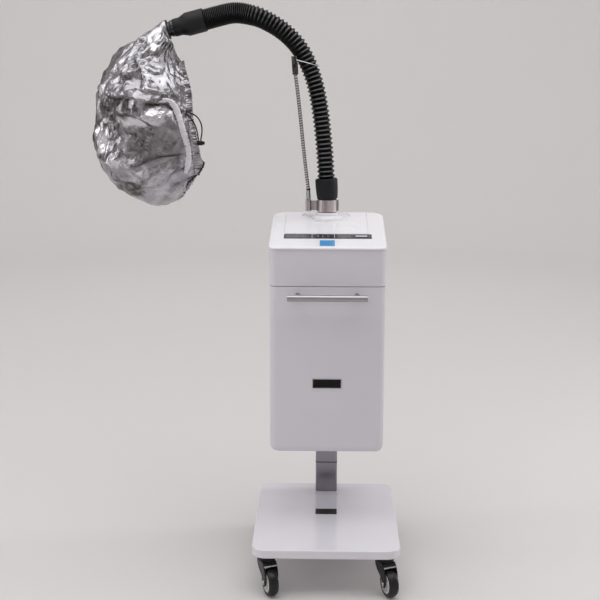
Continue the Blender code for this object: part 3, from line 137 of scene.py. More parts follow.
FLOOR_RADIUS = 4.2
COVE_RADIUS = 1.6
COVE_STEPS = 12
WALL_HEIGHT = 5.5
sweep_profile = [(0, 0), (FLOOR_RADIUS, 0)]
for step in range(1, COVE_STEPS + 1):
    bend = math.radians(90 * step / COVE_STEPS)
    sweep_profile.append((FLOOR_RADIUS + COVE_RADIUS * math.sin(bend),
                          COVE_RADIUS * (1 - math.cos(bend))))
sweep_profile.append((FLOOR_RADIUS + COVE_RADIUS, WALL_HEIGHT))
sweep = turn("studio_sweep", sweep_profile, steps=96)
bpy.ops.object.shade_smooth()
# Backdrop paper gives one even, matt tone
paper = start_material("matt_backdrop_paper", "d9d7d6", Roughness=0.9)
sweep.data.materials.append(paper)

AIR_COLOUR = "f5f2f3"
AIR_STRENGTH = 0.46
world = bpy.data.worlds.new("studio_air")
world.use_nodes = True
air = world.node_tree.nodes["Background"]
air.inputs["Color"].default_value = srgb(AIR_COLOUR)
air.inputs["Strength"].default_value = AIR_STRENGTH
scene.world = world

# Each lamp: name, place, what it is turned to, width, height and watts
LAMPS = (
    ("soft_box", (0.1, -0.4, 3.3), (0.1, 0.0, 0.6), 3.9, 3.0, 62),
    ("front_panel", (-1.3, -3.3, 1.9), (0.1, 0.0, 0.7), 1.4, 1.8, 5),
    ("left_strip", (-2.6, -0.4, 1.5), (0.0, 0.0, 0.8), 0.5, 1.8, 12),
    ("right_strip", (2.6, 0.5, 1.5), (0.0, 0.0, 0.8), 0.5, 1.8, 12),
    ("rear_wash", (0.0, 2.6, 3.6), (0.0, 5.6, 1.6), 3.0, 1.0, 46),
    ("left_wash", (-2.9, 0.0, 3.6), (-5.6, 0.0, 1.6), 3.0, 1.0, 38),
    ("right_wash", (2.9, 0.0, 3.6), (5.6, 0.0, 1.6), 3.0, 1.0, 38),
    ("front_wash", (0.0, -3.6, 3.6), (0.0, -5.8, 1.6), 3.0, 1.0, 24),
)
for name, place, target, width, height, watts in LAMPS:
    light = bpy.data.lights.new(name, "AREA")
    light.shape = "RECTANGLE"
    light.size = width
    light.size_y = height
    light.energy = watts
    lamp = bpy.data.objects.new(name, light)
    scene.collection.objects.link(lamp)
    lamp.location = place
    lamp.rotation_euler = (Vector(target) - Vector(place)).to_track_quat("-Z", "Y").to_euler()
    lamp.visible_camera = False

# Flags: dark cards out of the picture, seen only in reflections, so bright metal has something
# dark to show beside the soft boxes. Each has a name, place, width and height.
FLAGS_FACE = Vector((-0.15, 0.0, 1.0))
FLAGS = (
    ("low_flag", (-0.9, -3.2, 0.35), 2.2, 0.7),
    ("left_flag", (-2.2, -1.7, 1.1), 0.7, 1.7),
    ("right_flag", (1.5, -2.7, 1.5), 0.6, 1.5),
    ("rear_flag", (-1.6, 2.2, 1.0), 1.0, 1.7),
)
# Flag cloth swallows most of the light
flag_cloth = start_material("black_flag_cloth", "2e2a28", Roughness=0.9)
for name, place, width, height in FLAGS:
    bpy.ops.mesh.primitive_plane_add(size=1)
    flag = bpy.context.object
    flag.name = name
    lay(flag, stood(place, FLAGS_FACE - Vector(place)) @ Matrix.Diagonal((width, height, 1, 1)))
    flag.data.materials.append(flag_cloth)
    flag.visible_camera = False
    flag.visible_diffuse = False
    flag.visible_transmission = False
    flag.visible_shadow = False


# Base plate: a slab of board with round corners that carries the post and the casters. White
# lacquer is sprayed over all of it, so it is glossy, with a faint orange peel.
def cube(name, low, high):
    """A cube primitive between two corners, with its place in its mesh."""
    low, high = Vector(low), Vector(high)
    bpy.ops.object.select_all(action="DESELECT")
    bpy.ops.mesh.primitive_cube_add(size=1, location=(low + high) / 2, scale=high - low)
    piece = bpy.context.object
    piece.name = name
    bpy.ops.object.transform_apply(location=True, rotation=True, scale=True)
    return piece


def pick(piece, kind, test):
    """Enters edit mode and selects the edges or faces of a piece that pass a test."""
    focus(piece)
    bpy.ops.object.mode_set(mode="EDIT")
    bpy.ops.mesh.select_mode(type=kind)
    bpy.ops.mesh.select_all(action="DESELECT")
    shape = bmesh.from_edit_mesh(piece.data)
    for part in shape.edges if kind == "EDGE" else shape.faces:
        if test(part):
            part.select_set(True)
    bmesh.update_edit_mesh(piece.data)


def round_edges(piece, width, segments, test):
    """Rounds the edges of a piece that pass a test."""
    pick(piece, "EDGE", test)
    bpy.ops.mesh.bevel(offset=width, segments=segments, affect="EDGES")
    bpy.ops.object.mode_set(mode="OBJECT")


def upright(edge):
    """True for an edge that runs along Z."""
    return (edge.verts[0].co - edge.verts[1].co).normalized().z ** 2 > 0.99


def apply_modifier(piece, kind, **settings):
    """Adds one modifier to a piece and applies it."""
    focus(piece)
    modifier = piece.modifiers.new(kind.lower(), kind)
    for name, value in settings.items():
        setattr(modifier, name, value)
    bpy.ops.object.modifier_apply(modifier=modifier.name)


def smooth(degrees=40):
    """Shades the selected piece smooth, apart from edges sharper than an angle."""
    bpy.ops.object.shade_smooth_by_angle(angle=math.radians(degrees))


def ease(piece, width, segments=2):
    """Rounds every sharp edge of a piece and shades it smooth, with its flats kept flat."""
    focus(piece)
    bpy.ops.object.shade_smooth()
    apply_modifier(piece, "BEVEL", width=width, segments=segments, limit_method="ANGLE",
                   angle_limit=math.radians(38), harden_normals=True)
    smooth()


def rounded_block(name, low, high, corner, edge, steps):
    """A cube with its upright edges rounded to a corner radius and its rims eased."""
    piece = cube(name, low, high)
    round_edges(piece, corner, steps, upright)
    if edge:
        ease(piece, edge, 3)
    return piece


def add(material, kind, inputs=None, to=None, **settings):
    """Adds a node: inputs are values or (node, output) pairs, and to links it to the shader."""
    tree = material.node_tree
    made = tree.nodes.new("ShaderNode" + kind)
    for name, value in settings.items():
        setattr(made, name, value)
    for socket, value in (inputs or {}).items():
        if isinstance(value, tuple) and isinstance(value[0], bpy.types.Node):
            tree.links.new(value[0].outputs[value[1]], made.inputs[socket])
        else:
            made.inputs[socket].default_value = value
    for socket, output in (to or {}).items():
        tree.links.new(made.outputs[output], tree.nodes["Principled BSDF"].inputs[socket])
    return made


def vary(material, pattern, colours=None, roughness=None, relief=None):
    """Lets a pattern run between two colours and two values of roughness, and stand in relief
    of a strength and a height in metres."""
    if colours:
        first, last = (srgb(code) for code in colours)
        add(material, "Mix", {0: pattern, 6: first, 7: last}, {"Base Color": 2}, data_type="RGBA")
    if roughness:
        add(material, "MapRange", {"Value": pattern, 3: roughness[0], 4: roughness[1]},
            {"Roughness": 0})
    if relief:
        add(material, "Bump", {"Height": pattern, "Strength": relief[0], "Distance": relief[1]},
            {"Normal": 0})


def layer(material, size, kind="TexNoise", colours=None, roughness=None, relief=None, **sockets):
    """Lays a pattern of a real size in metres over a material. A size of three values is a
    grain that is longer along one axis than along the others. Grit, skin grain and brush lines
    that are really finer are drawn at about a millimetre, as coarse as they need to show."""
    known = material.node_tree.nodes.get("Texture Coordinate")
    place = (known or add(material, "TexCoord"), "Object")
    if isinstance(size, tuple):
        stretch = [1 / length for length in size]
        place = (add(material, "Mapping", {"Vector": place, "Scale": stretch}), 0)
        size = 1.0
    pattern = (add(material, kind, {"Vector": place, "Scale": 1 / size, **sockets}), 0)
    vary(material, pattern, colours, roughness, relief)
    return pattern


def fit(piece, material, body, slot, *stands_for):
    """Gives a finished piece its material and fixes it to a body of the frame. The finish slot is
    not used.
    """
    piece.data.materials.append(material)
    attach(piece, body)
    if stands_for:
        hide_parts(*stands_for)


# Sprayed lacquer shows clear, bright reflections that a fine orange peel breaks a little
ORANGE_PEEL = 0.0016
lacquer = start_material("sprayed_white_lacquer", "dcdae2", Roughness=0.2, IOR=1.5,
                         Coat_Weight=0.35, Coat_Roughness=0.08)
layer(lacquer, 0.12, colours=("d8d6de", "e2e0e7"), roughness=(0.17, 0.27), Detail=3)
layer(lacquer, ORANGE_PEEL, relief=(0.06, 0.0002))

BASE_CORNER = 0.031
BASE_EDGE = 0.003
base_low, base_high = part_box("base_plate")
base = rounded_block("base_slab", base_low, base_high, BASE_CORNER, BASE_EDGE, steps=16)
fit(base, lacquer, "stand", "white_board", "base_plate")

# Floor plate: a small bare plate of black anodised aluminium, stuck to the base in front of
# the post. Its print is left off.
PLATE_MIDDLE = (0.185446, -0.0045)
PLATE_HALF = (0.0245, 0.0163)
PLATE_THICK = 0.0009
floor_plate = rounded_block(
    "base_black_plate",
    (PLATE_MIDDLE[0] - PLATE_HALF[0], PLATE_MIDDLE[1] - PLATE_HALF[1], base_high.z),
    (PLATE_MIDDLE[0] + PLATE_HALF[0], PLATE_MIDDLE[1] + PLATE_HALF[1], base_high.z + PLATE_THICK),
    0.001, 0.0003, steps=4)
# Dyed oxide on brushed sheet is dark and even, with a soft metal sheen
anodised = start_material("black_anodised_aluminium", "15120f", Roughness=0.42, Metallic=0.35)
layer(anodised, 0.0008, colours=("120f0e", "211b19"), roughness=(0.34, 0.52), Detail=2)
fit(floor_plate, anodised, "stand", "black_plastic")

# Casters: a stamped top plate with its ball race, a black fork that trails the wheel, a zinc
# plated axle bolt and a soft black tyre on a pale nylon hub. One is modelled and copied.
SWIVEL = Vector((0.057446, -0.201108, 0.0861))
CASTER_SPACING = (0.256, 0.356)
CASTER_TURN = math.radians(22)
AXLE_PLACE = Vector((0, -0.024, -0.0561))
caster_frame = Matrix.Translation(SWIVEL) @ Matrix.Rotation(CASTER_TURN, 4, "Z")
axle_frame = (caster_frame @ Matrix.Translation(AXLE_PLACE)
              @ Matrix.Rotation(math.radians(90), 4, "Y"))

# Stove enamel is a hard black with a fine grit that spreads its highlights
painted = start_material("black_stove_enamel", "101012", Roughness=0.36, Specular_IOR_Level=0.35)
layer(painted, 0.0012, colours=("101012", "1d1d20"), roughness=(0.26, 0.44),
      relief=(0.12, 0.0002), Detail=2)

# Moulded tread is smooth and black, and dusty in patches from the floor
tread = start_material("moulded_polyurethane_tread", "131316", Roughness=0.42,
                       Specular_IOR_Level=0.35)
layer(tread, 0.006, colours=("0e0e10", "1c1c20"), roughness=(0.20, 0.42), Detail=5)
layer(tread, 0.0009, relief=(0.1, 0.0002))

# Nylon lets a little light in, so its edges look soft and its tone is cloudy
nylon = start_material("natural_nylon_hub", "cfcdcb", Roughness=0.38, IOR=1.53,
                       Subsurface_Weight=0.1, Subsurface_Scale=0.002)
layer(nylon, 0.008, colours=("bdbbb9", "d9d7d4"), relief=(0.08, 0.0003), Detail=3)

# Zinc plate is bright, with small spangles that differ in tone and gloss
zinc = start_material("bright_zinc_plate", "b9b9bb", Metallic=1.0, Roughness=0.25)
layer(zinc, 0.002, "TexVoronoi", colours=("c6c6c8", "9d9da0"), roughness=(0.18, 0.36))

RACE_PROFILE = (
    (0, -0.0003), (0.025, -0.0003), (0.025, -0.0033), (0.0205, -0.0033), (0.0195, -0.005),
    (0.0195, -0.0078), (0.0186, -0.0085), (0.0195, -0.0092), (0.0192, -0.0123), (0.005, -0.0123),
    (0.005, -0.0186), (0.008, -0.0190), (0.008, -0.0206), (0.0055, -0.0216), (0, -0.0216))
race_plate = turn("race_plate", RACE_PROFILE, SWIVEL, steps=48)
ease(race_plate, 0.0005)

FORK_GAP = 0.01265
FORK_THICK = 0.003
FORK_OUTER = FORK_GAP + FORK_THICK
CROWN_TOP = -0.0126
CROWN_LOW = -0.0186
EYE_RADIUS = 0.0088
EYE_STEPS = 12
EYE_START = 28
EYE_SWEEP = 236
PIN_RADIUS = 0.0084
fork_outline = [(0.0185, CROWN_TOP), (0.0185, CROWN_LOW), (0.0165, -0.0262), (0.0085, -0.0345),
                (-0.0065, -0.0425), (-0.0130, -0.0475)]
for step in range(EYE_STEPS + 1):
    eye = math.radians(EYE_START - EYE_SWEEP * step / EYE_STEPS)
    fork_outline.append((AXLE_PLACE.y + EYE_RADIUS * math.cos(eye),
                         AXLE_PLACE.z + EYE_RADIUS * math.sin(eye)))
fork_outline += [(-0.0330, -0.0400), (-0.0305, -0.0280), (-0.0240, -0.0178), (-0.0185, CROWN_TOP)]
fork = draw("fork", [(-FORK_OUTER, y, z) for y, z in fork_outline],
            faces=[tuple(range(len(fork_outline)))])
pick(fork, "FACE", lambda face: True)
bpy.ops.mesh.extrude_region_move(TRANSFORM_OT_translate={"value": (2 * FORK_OUTER, 0, 0)})
bpy.ops.mesh.select_all(action="SELECT")
bpy.ops.mesh.normals_make_consistent(inside=False)
bpy.ops.object.mode_set(mode="OBJECT")


def carve(piece, tool):
    """Cuts a tool's shape out of a piece and removes the tool."""
    apply_modifier(piece, "BOOLEAN", object=tool, operation="DIFFERENCE", solver="EXACT")
    bpy.data.objects.remove(tool)


def pillar(name, radius, low, high, place=(0, 0, 0), steps=64):
    """A plain round tool for carving, between two heights."""
    return turn(name, [(0, low), (radius, low), (radius, high), (0, high)], place, steps=steps)


carve(fork, cube("wheel_room", (-FORK_GAP, -0.08, -0.12), (FORK_GAP, 0.0150, CROWN_LOW)))
carve(fork, pillar("pin_hole", PIN_RADIUS, -0.03, 0, steps=24))
ease(fork, 0.0011, 3)
lay(fork, caster_frame)

BRIDGE_INSET = 0.0012
bridge = rounded_block("fork_bridge", (-FORK_OUTER + BRIDGE_INSET, -0.0262, -0.0222),
                       (FORK_OUTER - BRIDGE_INSET, -0.0238, -0.0184), 0.0008, 0.0006, steps=3)
lay(bridge, caster_frame)

BOLT_HEAD = ((0, -0.0030), (0.0022, -0.0029), (0.0042, -0.0020), (0.0055, -0.0004), (0.0055, 0),
             (0.003, 0))
BOLT_NUT = ((0.003, 0), (0.0055, 0), (0.0055, 0.0022), (0.0036, 0.0026), (0.0030, 0.0020),
            (0, 0.0020))
bolt = turn("axle_bolt", [(radius, height - FORK_OUTER) for radius, height in BOLT_HEAD]
            + [(radius, height + FORK_OUTER) for radius, height in BOLT_NUT], steps=24)
smooth(35)
lay(bolt, axle_frame)

TYRE_RADIUS = 0.030
TYRE_HALF = 0.01125
TYRE_SHOULDER = 0.0055
TYRE_STEPS = 12
tyre_profile = [(0.0218, -TYRE_HALF + 0.0006), (0.0236, -TYRE_HALF)]
for step in range(TYRE_STEPS + 1):
    shoulder = math.radians(-90 + 180 * step / TYRE_STEPS)
    crown = TYRE_SHOULDER * math.cos(shoulder) ** 0.7
    tyre_profile.append((TYRE_RADIUS - TYRE_SHOULDER + crown,
                         (TYRE_HALF - 0.0008) * math.sin(shoulder)))
tyre_profile += [(0.0236, TYRE_HALF), (0.0218, TYRE_HALF - 0.0006)]
tyre = turn("tyre", tyre_profile, steps=72, closed=True)
smooth()
lay(tyre, axle_frame)

HUB_SIDE = ((0.0034, 0.0098), (0.0078, 0.0098), (0.0086, 0.0090), (0.0092, 0.0066),
            (0.0150, 0.0060), (0.0162, 0.0085), (0.0172, 0.0104), (0.0206, 0.0106),
            (0.0217, 0.0098))
hub_mirror = tuple((radius, -height) for radius, height in reversed(HUB_SIDE))
hub = turn("hub", HUB_SIDE + hub_mirror, closed=True)
smooth()
lay(hub, axle_frame)

CORNERS = {
    "caster_front_left": (0, 0, 0),
    "caster_front_right": (CASTER_SPACING[0], 0, 0),
    "caster_rear_left": (0, CASTER_SPACING[1], 0),
    "caster_rear_right": (CASTER_SPACING[0], CASTER_SPACING[1], 0),
}
# Each piece of a caster, with the ends of the names of its body and of the node it stands for
for piece, name, material, body, slot, node in (
        (race_plate, "_race_plate", painted, None, "black_plastic", "_plate"),
        (fork, "_stamped_fork", painted, "_swivel", "black_plastic", "_fork"),
        (bridge, "_fork_bridge", zinc, "_swivel", "satin_steel", None),
        (bolt, "_axle_bolt", zinc, "_swivel", "satin_steel", "_axle"),
        (tyre, "_tyre", tread, "_roller", "black_rubber", "_wheel"),
        (hub, "_hub", nylon, "_roller", "white_satin", None)):
    for corner, offset in CORNERS.items():
        twin = piece.copy()
        twin.data = piece.data.copy()
        scene.collection.objects.link(twin)
        twin.name = corner + name
        lay(twin, Matrix.Translation(offset))
        fit(twin, material, corner + body if body else "stand", slot,
            *([corner + node] if node else []))
    bpy.data.objects.remove(piece)


# Post: a rectangular tube of stainless steel, polished along its length, welded to a foot
# flange on the base and running up inside the rear of the cabinet.
def dress(material, *names):
    """Gives CAD nodes whose shape is right a material of their own."""
    for name in names:
        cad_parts[name].data.materials.clear()
        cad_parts[name].data.materials.append(material)


# Polishing leaves fine lines up the tube, which draw its reflections out sideways
stainless = start_material("polished_stainless_tube", "8f8c93", Metallic=1.0, Roughness=0.22,
                           Anisotropic=0.4)
layer(stainless, (0.0009, 0.0009, 0.06), colours=("88858c", "9b989f"), roughness=(0.16, 0.30),
      relief=(0.05, 0.0002), Detail=4)
dress(stainless, "post")
dress(lacquer, "post_foot")

SEAM_FOOT = 0.1820
SEAM_HIGH = 0.0020
POST_CLEAR = Vector((0.0003, 0.0003, 0))
post_low, post_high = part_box("post")
seam = rounded_block("post_seam", (*(post_low - POST_CLEAR).xy, SEAM_FOOT),
                     (*(post_high + POST_CLEAR).xy, SEAM_FOOT + SEAM_HIGH), 0.0032, 0, steps=4)
# An open joint in steel is a dull, dark line; the same dark also serves as painted shade in the
# clamp's crevices
joint_line_and_crevice_shade = start_material("dark_joint_and_painted_crevice_shade", "2c2a2e", Roughness=0.5, Metallic=0.6)
layer(joint_line_and_crevice_shade, 0.003, colours=("211f23", "3b393e"), Detail=3)
fit(seam, joint_line_and_crevice_shade, "stand", "satin_steel")

# Cabinet: a folded steel case with round corners, powder coated in a satin white that shows a
# very fine texture close to. Its front mouth takes the drawer, and the post comes up its rear.
CABINET_WALL = 0.003
FRONT_CORNER = 0.015
REAR_CORNER = 0.030
FOOT_CORNER = 0.018
SEAM = 0.0012
MOUTH_ROOM = 0.05
INLET_LIP = Vector((0.0028, 0, 0.0028))
TOUCH = 1e-5


def cabinet_block(name, low, high, grown=0.0, foot=0.0):
    """The cabinet's outer block: large rear corners, a round foot if asked, a round front."""
    piece = cube(name, low, high)
    round_edges(piece, REAR_CORNER + grown, 14, lambda edge: upright(edge)
                and edge.verts[0].co.y > high.y - 0.0005)
    if foot:
        round_edges(piece, foot, 8, lambda edge:
                    all(vert.co.z < low.z + TOUCH for vert in edge.verts)
                    and any(vert.co.y > low.y + TOUCH for vert in edge.verts))
    round_edges(piece, FRONT_CORNER + grown, 8, lambda edge:
                all(vert.co.y < low.y + TOUCH for vert in edge.verts)
                and (upright(edge)
                     or foot and any(vert.co.z < high.z - TOUCH for vert in edge.verts)))
    return piece


case_low, case_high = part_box("cabinet_shell")
front_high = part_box("drawer_front")[1]
inlet_low, inlet_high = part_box("mains_inlet")
case = cabinet_block("cabinet_case", case_low, case_high, foot=FOOT_CORNER)
pick(case, "FACE", lambda face: face.normal.z > 0.9)
bpy.ops.mesh.delete(type="FACE")
bpy.ops.object.mode_set(mode="OBJECT")
apply_modifier(case, "SOLIDIFY", thickness=CABINET_WALL, offset=-1, use_even_offset=True)
carve(case, cube("mouth", case_low - Vector((MOUTH_ROOM, MOUTH_ROOM, MOUTH_ROOM)),
                 (case_high.x + MOUTH_ROOM, front_high.y + SEAM, front_high.z + SEAM)))
carve(case, cube("post_slot", post_low - POST_CLEAR, post_high + POST_CLEAR))
carve(case, cube("inlet_hole", inlet_low + INLET_LIP, inlet_high - INLET_LIP))
ease(case, 0.0006)

# Powder coat melts to an even satin skin; its fine grain is drawn coarser, so that it shows
POWDER_GRAIN = 0.0013
# Its white is painted a little darker than the lid's, as shade on the cabinet's upright faces
powder = start_material("satin_powder_coat_white", "d6d4dc", Roughness=0.42, IOR=1.5)
layer(powder, 0.18, colours=("d1ced7", "dad8e0"), roughness=(0.34, 0.46), Detail=3)
layer(powder, POWDER_GRAIN, relief=(0.10, 0.0002), Detail=1)
fit(case, powder, "stand", "white_gloss", "cabinet_shell")


# Drawer front: the lower part of the same block, a powder coated panel that closes the mouth
# with a thin seam under the upper band, and draws out with the water tank.
def cut_away(piece, point, outward, fill=True):
    """Cuts a piece along a plane and drops what lies outward of it."""
    pick(piece, "FACE", lambda face: True)
    bpy.ops.mesh.bisect(plane_co=point, plane_no=outward, use_fill=fill, clear_outer=True,
                        clear_inner=False)
    bpy.ops.object.mode_set(mode="OBJECT")


panel = cabinet_block("drawer_panel", case_low, case_high, foot=FOOT_CORNER)
cut_away(panel, (0, 0, front_high.z), (0, 0, 1))
cut_away(panel, (0, front_high.y, 0), (0, 1, 0))
ease(panel, 0.0008)
fit(panel, powder, "drawer", "white_gloss", "drawer_front")

# Bar handle: a round bar of satin nickel on two standoffs that are screwed through the panel.
# The bar is brushed round, so its highlight is a soft line along its top.
nickel = start_material("brushed_satin_nickel", "a8a5a7", Metallic=1.0, Roughness=0.28,
                        Anisotropic=0.5)
layer(nickel, (0.05, 0.0007, 0.0007), colours=("a19ea0", "b3b0b2"), roughness=(0.22, 0.38),
      Detail=3)
bar_low, bar_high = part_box("handle_bar")
bar_half = (bar_high.x - bar_low.x) / 2
bar_radius = (bar_high.z - bar_low.z) / 2
bar = turn("handle_round_bar", [(0, -bar_half), (bar_radius, -bar_half), (bar_radius, bar_half),
                                (0, bar_half)], (bar_low + bar_high) / 2, (1, 0, 0), steps=48)
ease(bar, 0.0009, 3)
fit(bar, nickel, "drawer", "satin_steel", "handle_bar")
STEM_FLANGE = ((0, 0), (0.0050, 0), (0.0050, 0.0012), (0.0040, 0.0026), (0.0037, 0.012))
STEM_END = 0.0040
for side in ("left", "right"):
    stem_low, stem_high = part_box("handle_standoff_" + side)
    stem_middle = (stem_low + stem_high) / 2
    stem_length = stem_high.y - stem_low.y
    stem = turn("handle_stem_" + side, STEM_FLANGE + ((STEM_END, stem_length), (0, stem_length)),
                (stem_middle.x, stem_high.y, stem_middle.z), (0, -1, 0), steps=32)
    ease(stem, 0.0004)
    fit(stem, nickel, "drawer", "satin_steel", "handle_standoff_" + side)

# Nameplate: a bare black plate of enamelled metal with a thin bright rim, stuck to the panel.
# Its print is left off.
RIM = 0.0011
RIM_STEP = 0.0003
plate_low, plate_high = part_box("nameplate")
nameplate = cube("name_plate", plate_low, plate_high)
pick(nameplate, "FACE", lambda face: face.normal.y < -0.9)
bpy.ops.mesh.inset(thickness=RIM)
bpy.ops.mesh.extrude_region_move(TRANSFORM_OT_translate={"value": (0, RIM_STEP, 0)})
bpy.ops.object.mode_set(mode="OBJECT")
ease(nameplate, 0.0002)
# Enamel is a deep, warm black with a dim, uneven gloss
bare_black = start_material("bare_black_enamel_plate", "0d0807", Roughness=0.34,
                            Specular_IOR_Level=0.2)
layer(bare_black, 0.01, colours=("080505", "120b0a"), roughness=(0.22, 0.42), Detail=4)
fit(nameplate, bare_black, "drawer", "black_plastic", "nameplate")
nameplate.data.materials.append(zinc)
rim_half = (plate_high - plate_low) / 2 - Vector((RIM, 0, RIM))
for face in nameplate.data.polygons:
    away = face.center - (plate_low + plate_high) / 2
    if abs(away.x) > rim_half.x - 0.0001 or abs(away.z) > rim_half.z - 0.0001:
        face.material_index = 1

# Inside the cabinet: galvanised runners carry the drawer's folded tray, and a sheet shelf over it
# carries the boiler, the pump and the control board. None of this shows with the drawer shut.
dress(powder, "drawer_tray")
dress(stainless, "boiler")

# Hot dip zinc sets in large spangles of lighter and darker grey
galvanised = start_material("galvanised_sheet_steel", "a8abad", Metallic=1.0, Roughness=0.38)
layer(galvanised, 0.009, "TexVoronoi", colours=("b7babc", "90949a"), roughness=(0.3, 0.5))
dress(galvanised, "drawer_runner_left", "drawer_runner_right", "equipment_shelf")

# Blown HDPE is waxy and lets light in, with slow waves where the wall is uneven
hdpe = start_material("blow_moulded_hdpe", "dfe2e4", Roughness=0.42, IOR=1.54,
                      Subsurface_Weight=0.25, Subsurface_Scale=0.004)
layer(hdpe, 0.03, colours=("d3d8db", "e9ebec"), relief=(0.15, 0.0008), Detail=4)
dress(hdpe, "water_tank")

# Silicone tube is milky and soft, and hazy where it has been handled
silicone = start_material("clear_silicone_tube", "d5d3cd", Roughness=0.36, IOR=1.42,
                          Subsurface_Weight=0.2, Subsurface_Scale=0.003)
layer(silicone, 0.01, colours=("c8c5bd", "e0ded9"), roughness=(0.28, 0.46), Detail=3)
dress(silicone, "steam_pipe", "feed_tube")

# Solder mask is a green lacquer, lighter where copper tracks run under it and lift it
TRACK_PITCH = 0.004
solder_mask = start_material("green_solder_mask", "1f5a38", Roughness=0.3, IOR=1.5)
mask_place = add(solder_mask, "TexCoord")
mask_tracks = add(solder_mask, "TexBrick",
                  {"Vector": (mask_place, "Object"), "Scale": 1 / TRACK_PITCH,
                   "Color1": srgb("1a4f31"), "Color2": srgb("226640"), "Mortar": srgb("2f7d50"),
                   "Mortar Size": 0.03}, {"Base Color": 0})
vary(solder_mask, (mask_tracks, "Fac"), relief=(0.3, 0.0002))
dress(solder_mask, "control_board")

# Tank cap: a screw cap in blue polypropylene, moulded with ribs for grip, which turns in the
# tank's filler neck.
CAP_RIBS = 36
CAP_RIB = 0.0008
CAP_WALL = 0.0022
cap_low, cap_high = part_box("tank_cap")
cap_radius = (cap_high.x - cap_low.x) / 2
cap_place = Vector((*((cap_low + cap_high) / 2).xy, 0))
cap = turn("filler_cap", [(0, cap_high.z), (cap_radius - 0.0025, cap_high.z),
                          (cap_radius - 0.0009, cap_high.z - 0.0008),
                          (cap_radius - CAP_RIB, cap_high.z - 0.0026),
                          (cap_radius - CAP_RIB, cap_low.z), (cap_radius - CAP_WALL, cap_low.z),
                          (cap_radius - CAP_WALL, cap_high.z - CAP_WALL),
                          (0, cap_high.z - CAP_WALL)], cap_place, steps=72)


def join(name, pieces):
    """Several meshes made one piece."""
    focus(pieces[0])
    for piece in pieces:
        piece.select_set(True)
    bpy.ops.object.join()
    pieces[0].name = name
    return pieces[0]


cap_parts = [cap]
for rib in range(CAP_RIBS):
    grip = rounded_block("grip", (cap_radius - 0.0016, -0.0006, cap_low.z + 0.0004),
                         (cap_radius, 0.0006, cap_high.z - 0.0030), 0.0003, 0, steps=2)
    lay(grip, Matrix.Translation(cap_place)
        @ Matrix.Rotation(2 * math.pi * rib / CAP_RIBS, 4, "Z"))
    cap_parts.append(grip)
cap = join("filler_cap", cap_parts)
smooth(35)
# Polypropylene is a plain, slightly waxy colour with a soft shine
polypropylene = start_material("blue_polypropylene", "3f74a8", Roughness=0.36, IOR=1.49)
layer(polypropylene, 0.012, colours=("386a9c", "477fb5"), roughness=(0.28, 0.45), Detail=3)
fit(cap, polypropylene, "cap", "white_satin", "tank_cap")

# Mains inlet: a black appliance inlet clipped in the rear wall, with three brass blades in its
# socket and a rocker switch beside it. The mains cord is not part of the set.
# Glass fibre in the nylon leaves it dull, with a fine mottle
glass_nylon = start_material("glass_filled_black_nylon", "18181b", Roughness=0.46,
                             Specular_IOR_Level=0.35)
layer(glass_nylon, 0.0012, colours=("131315", "232327"), roughness=(0.36, 0.56),
      relief=(0.15, 0.0002), Detail=3)
dress(glass_nylon, "mains_inlet", "rocker_switch", "pump")
SOCKET_SIDE = -0.010
BLADE_FOOT = 0.0035
BLADES = ((-0.007, -0.0015), (0, 0.0025), (0.007, -0.0015))
inlet_middle = (inlet_low + inlet_high) / 2
blades = []
for x, z in BLADES:
    place = Vector((inlet_middle.x + SOCKET_SIDE + x, inlet_low.y + BLADE_FOOT,
                    inlet_middle.z + z))
    blades.append(rounded_block("blade", place + Vector((-0.001, 0, -0.002)),
                                place + Vector((0.001, 0.0140, 0.002)), 0.0004, 0.0003, steps=2))
# Drawn brass is yellow and bright, browner where it has tarnished
brass = start_material("drawn_brass", "c2a35c", Metallic=1.0, Roughness=0.28)
layer(brass, 0.003, colours=("a98a48", "cfb06a"), roughness=(0.2, 0.4), Detail=4)
fit(join("inlet_blades", blades), brass, "stand", "satin_steel")

# Top cover: a glossy white ABS moulding clipped on the case. It slopes to the front, with a
# dish round the steam outlet, a flush overlay panel and a pocket for the control strip.
SLOPE = math.radians(8.83)
LID_RIM = 0.005
LID_EDGE = 0.0021
LID_FALL = 0.0012
LID_BORDER = 0.0088
LID_CREASE = 0.0012
LID_WALL = 0.0048
LID_OVERHANG = 0.002
DISH_RADIUS = 0.0520
DISH_MIDDLE = Vector((-0.004, 0.15686, 0))
DISH_PROFILE = (
    (0, -0.0040), (0.0310, -0.0040), (0.0360, -0.0037), (0.0410, -0.0028), (0.0450, -0.0017),
    (0.0485, -0.0008), (DISH_RADIUS, -0.0002), (DISH_RADIUS + 0.0010, 0.0010),
    (DISH_RADIUS + 0.0010, 0.03), (0, 0.03))
# On the slope, from the middle of the control strip: low and high corners
SLOPE_PLACE = (0.185446, -0.023108, 0.750751)
STRIP_POCKET = ((-0.0963, -0.0168, -0.008), (0.0963, 0.0168, 0.01))
OVERLAY = ((-0.096, 0.0205, -0.0016), (0.0886, 0.1761, 0.0006))
OVERLAY_GROOVE = ((-0.0969, 0.0196, -0.0016), (0.0895, 0.1770, 0.01))
OUTLET_HOLE = 0.0258
on_slope = Matrix.Translation(SLOPE_PLACE) @ Matrix.Rotation(SLOPE, 4, "X")
outlet_low, outlet_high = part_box("outlet_spigot")
outlet_axis = Vector((*((outlet_low + outlet_high) / 2).xy, 0))
lid_low, lid_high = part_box("top_cover")
lid_front = Vector((0, case_low.y, lid_low.z + LID_RIM))
lid_up = Vector((0, -math.sin(SLOPE), math.cos(SLOPE)))


def sloped_block(name, inset, drop, foot):
    """The lid's outline drawn in by an inset, from a foot up to the slope less a drop."""
    block = cabinet_block(name, lid_low + Vector((inset, inset, -foot)),
                          lid_high + Vector((-inset, -inset, 0.02)), grown=LID_OVERHANG - inset)
    cut_away(block, lid_front - lid_up * drop, lid_up)
    return block


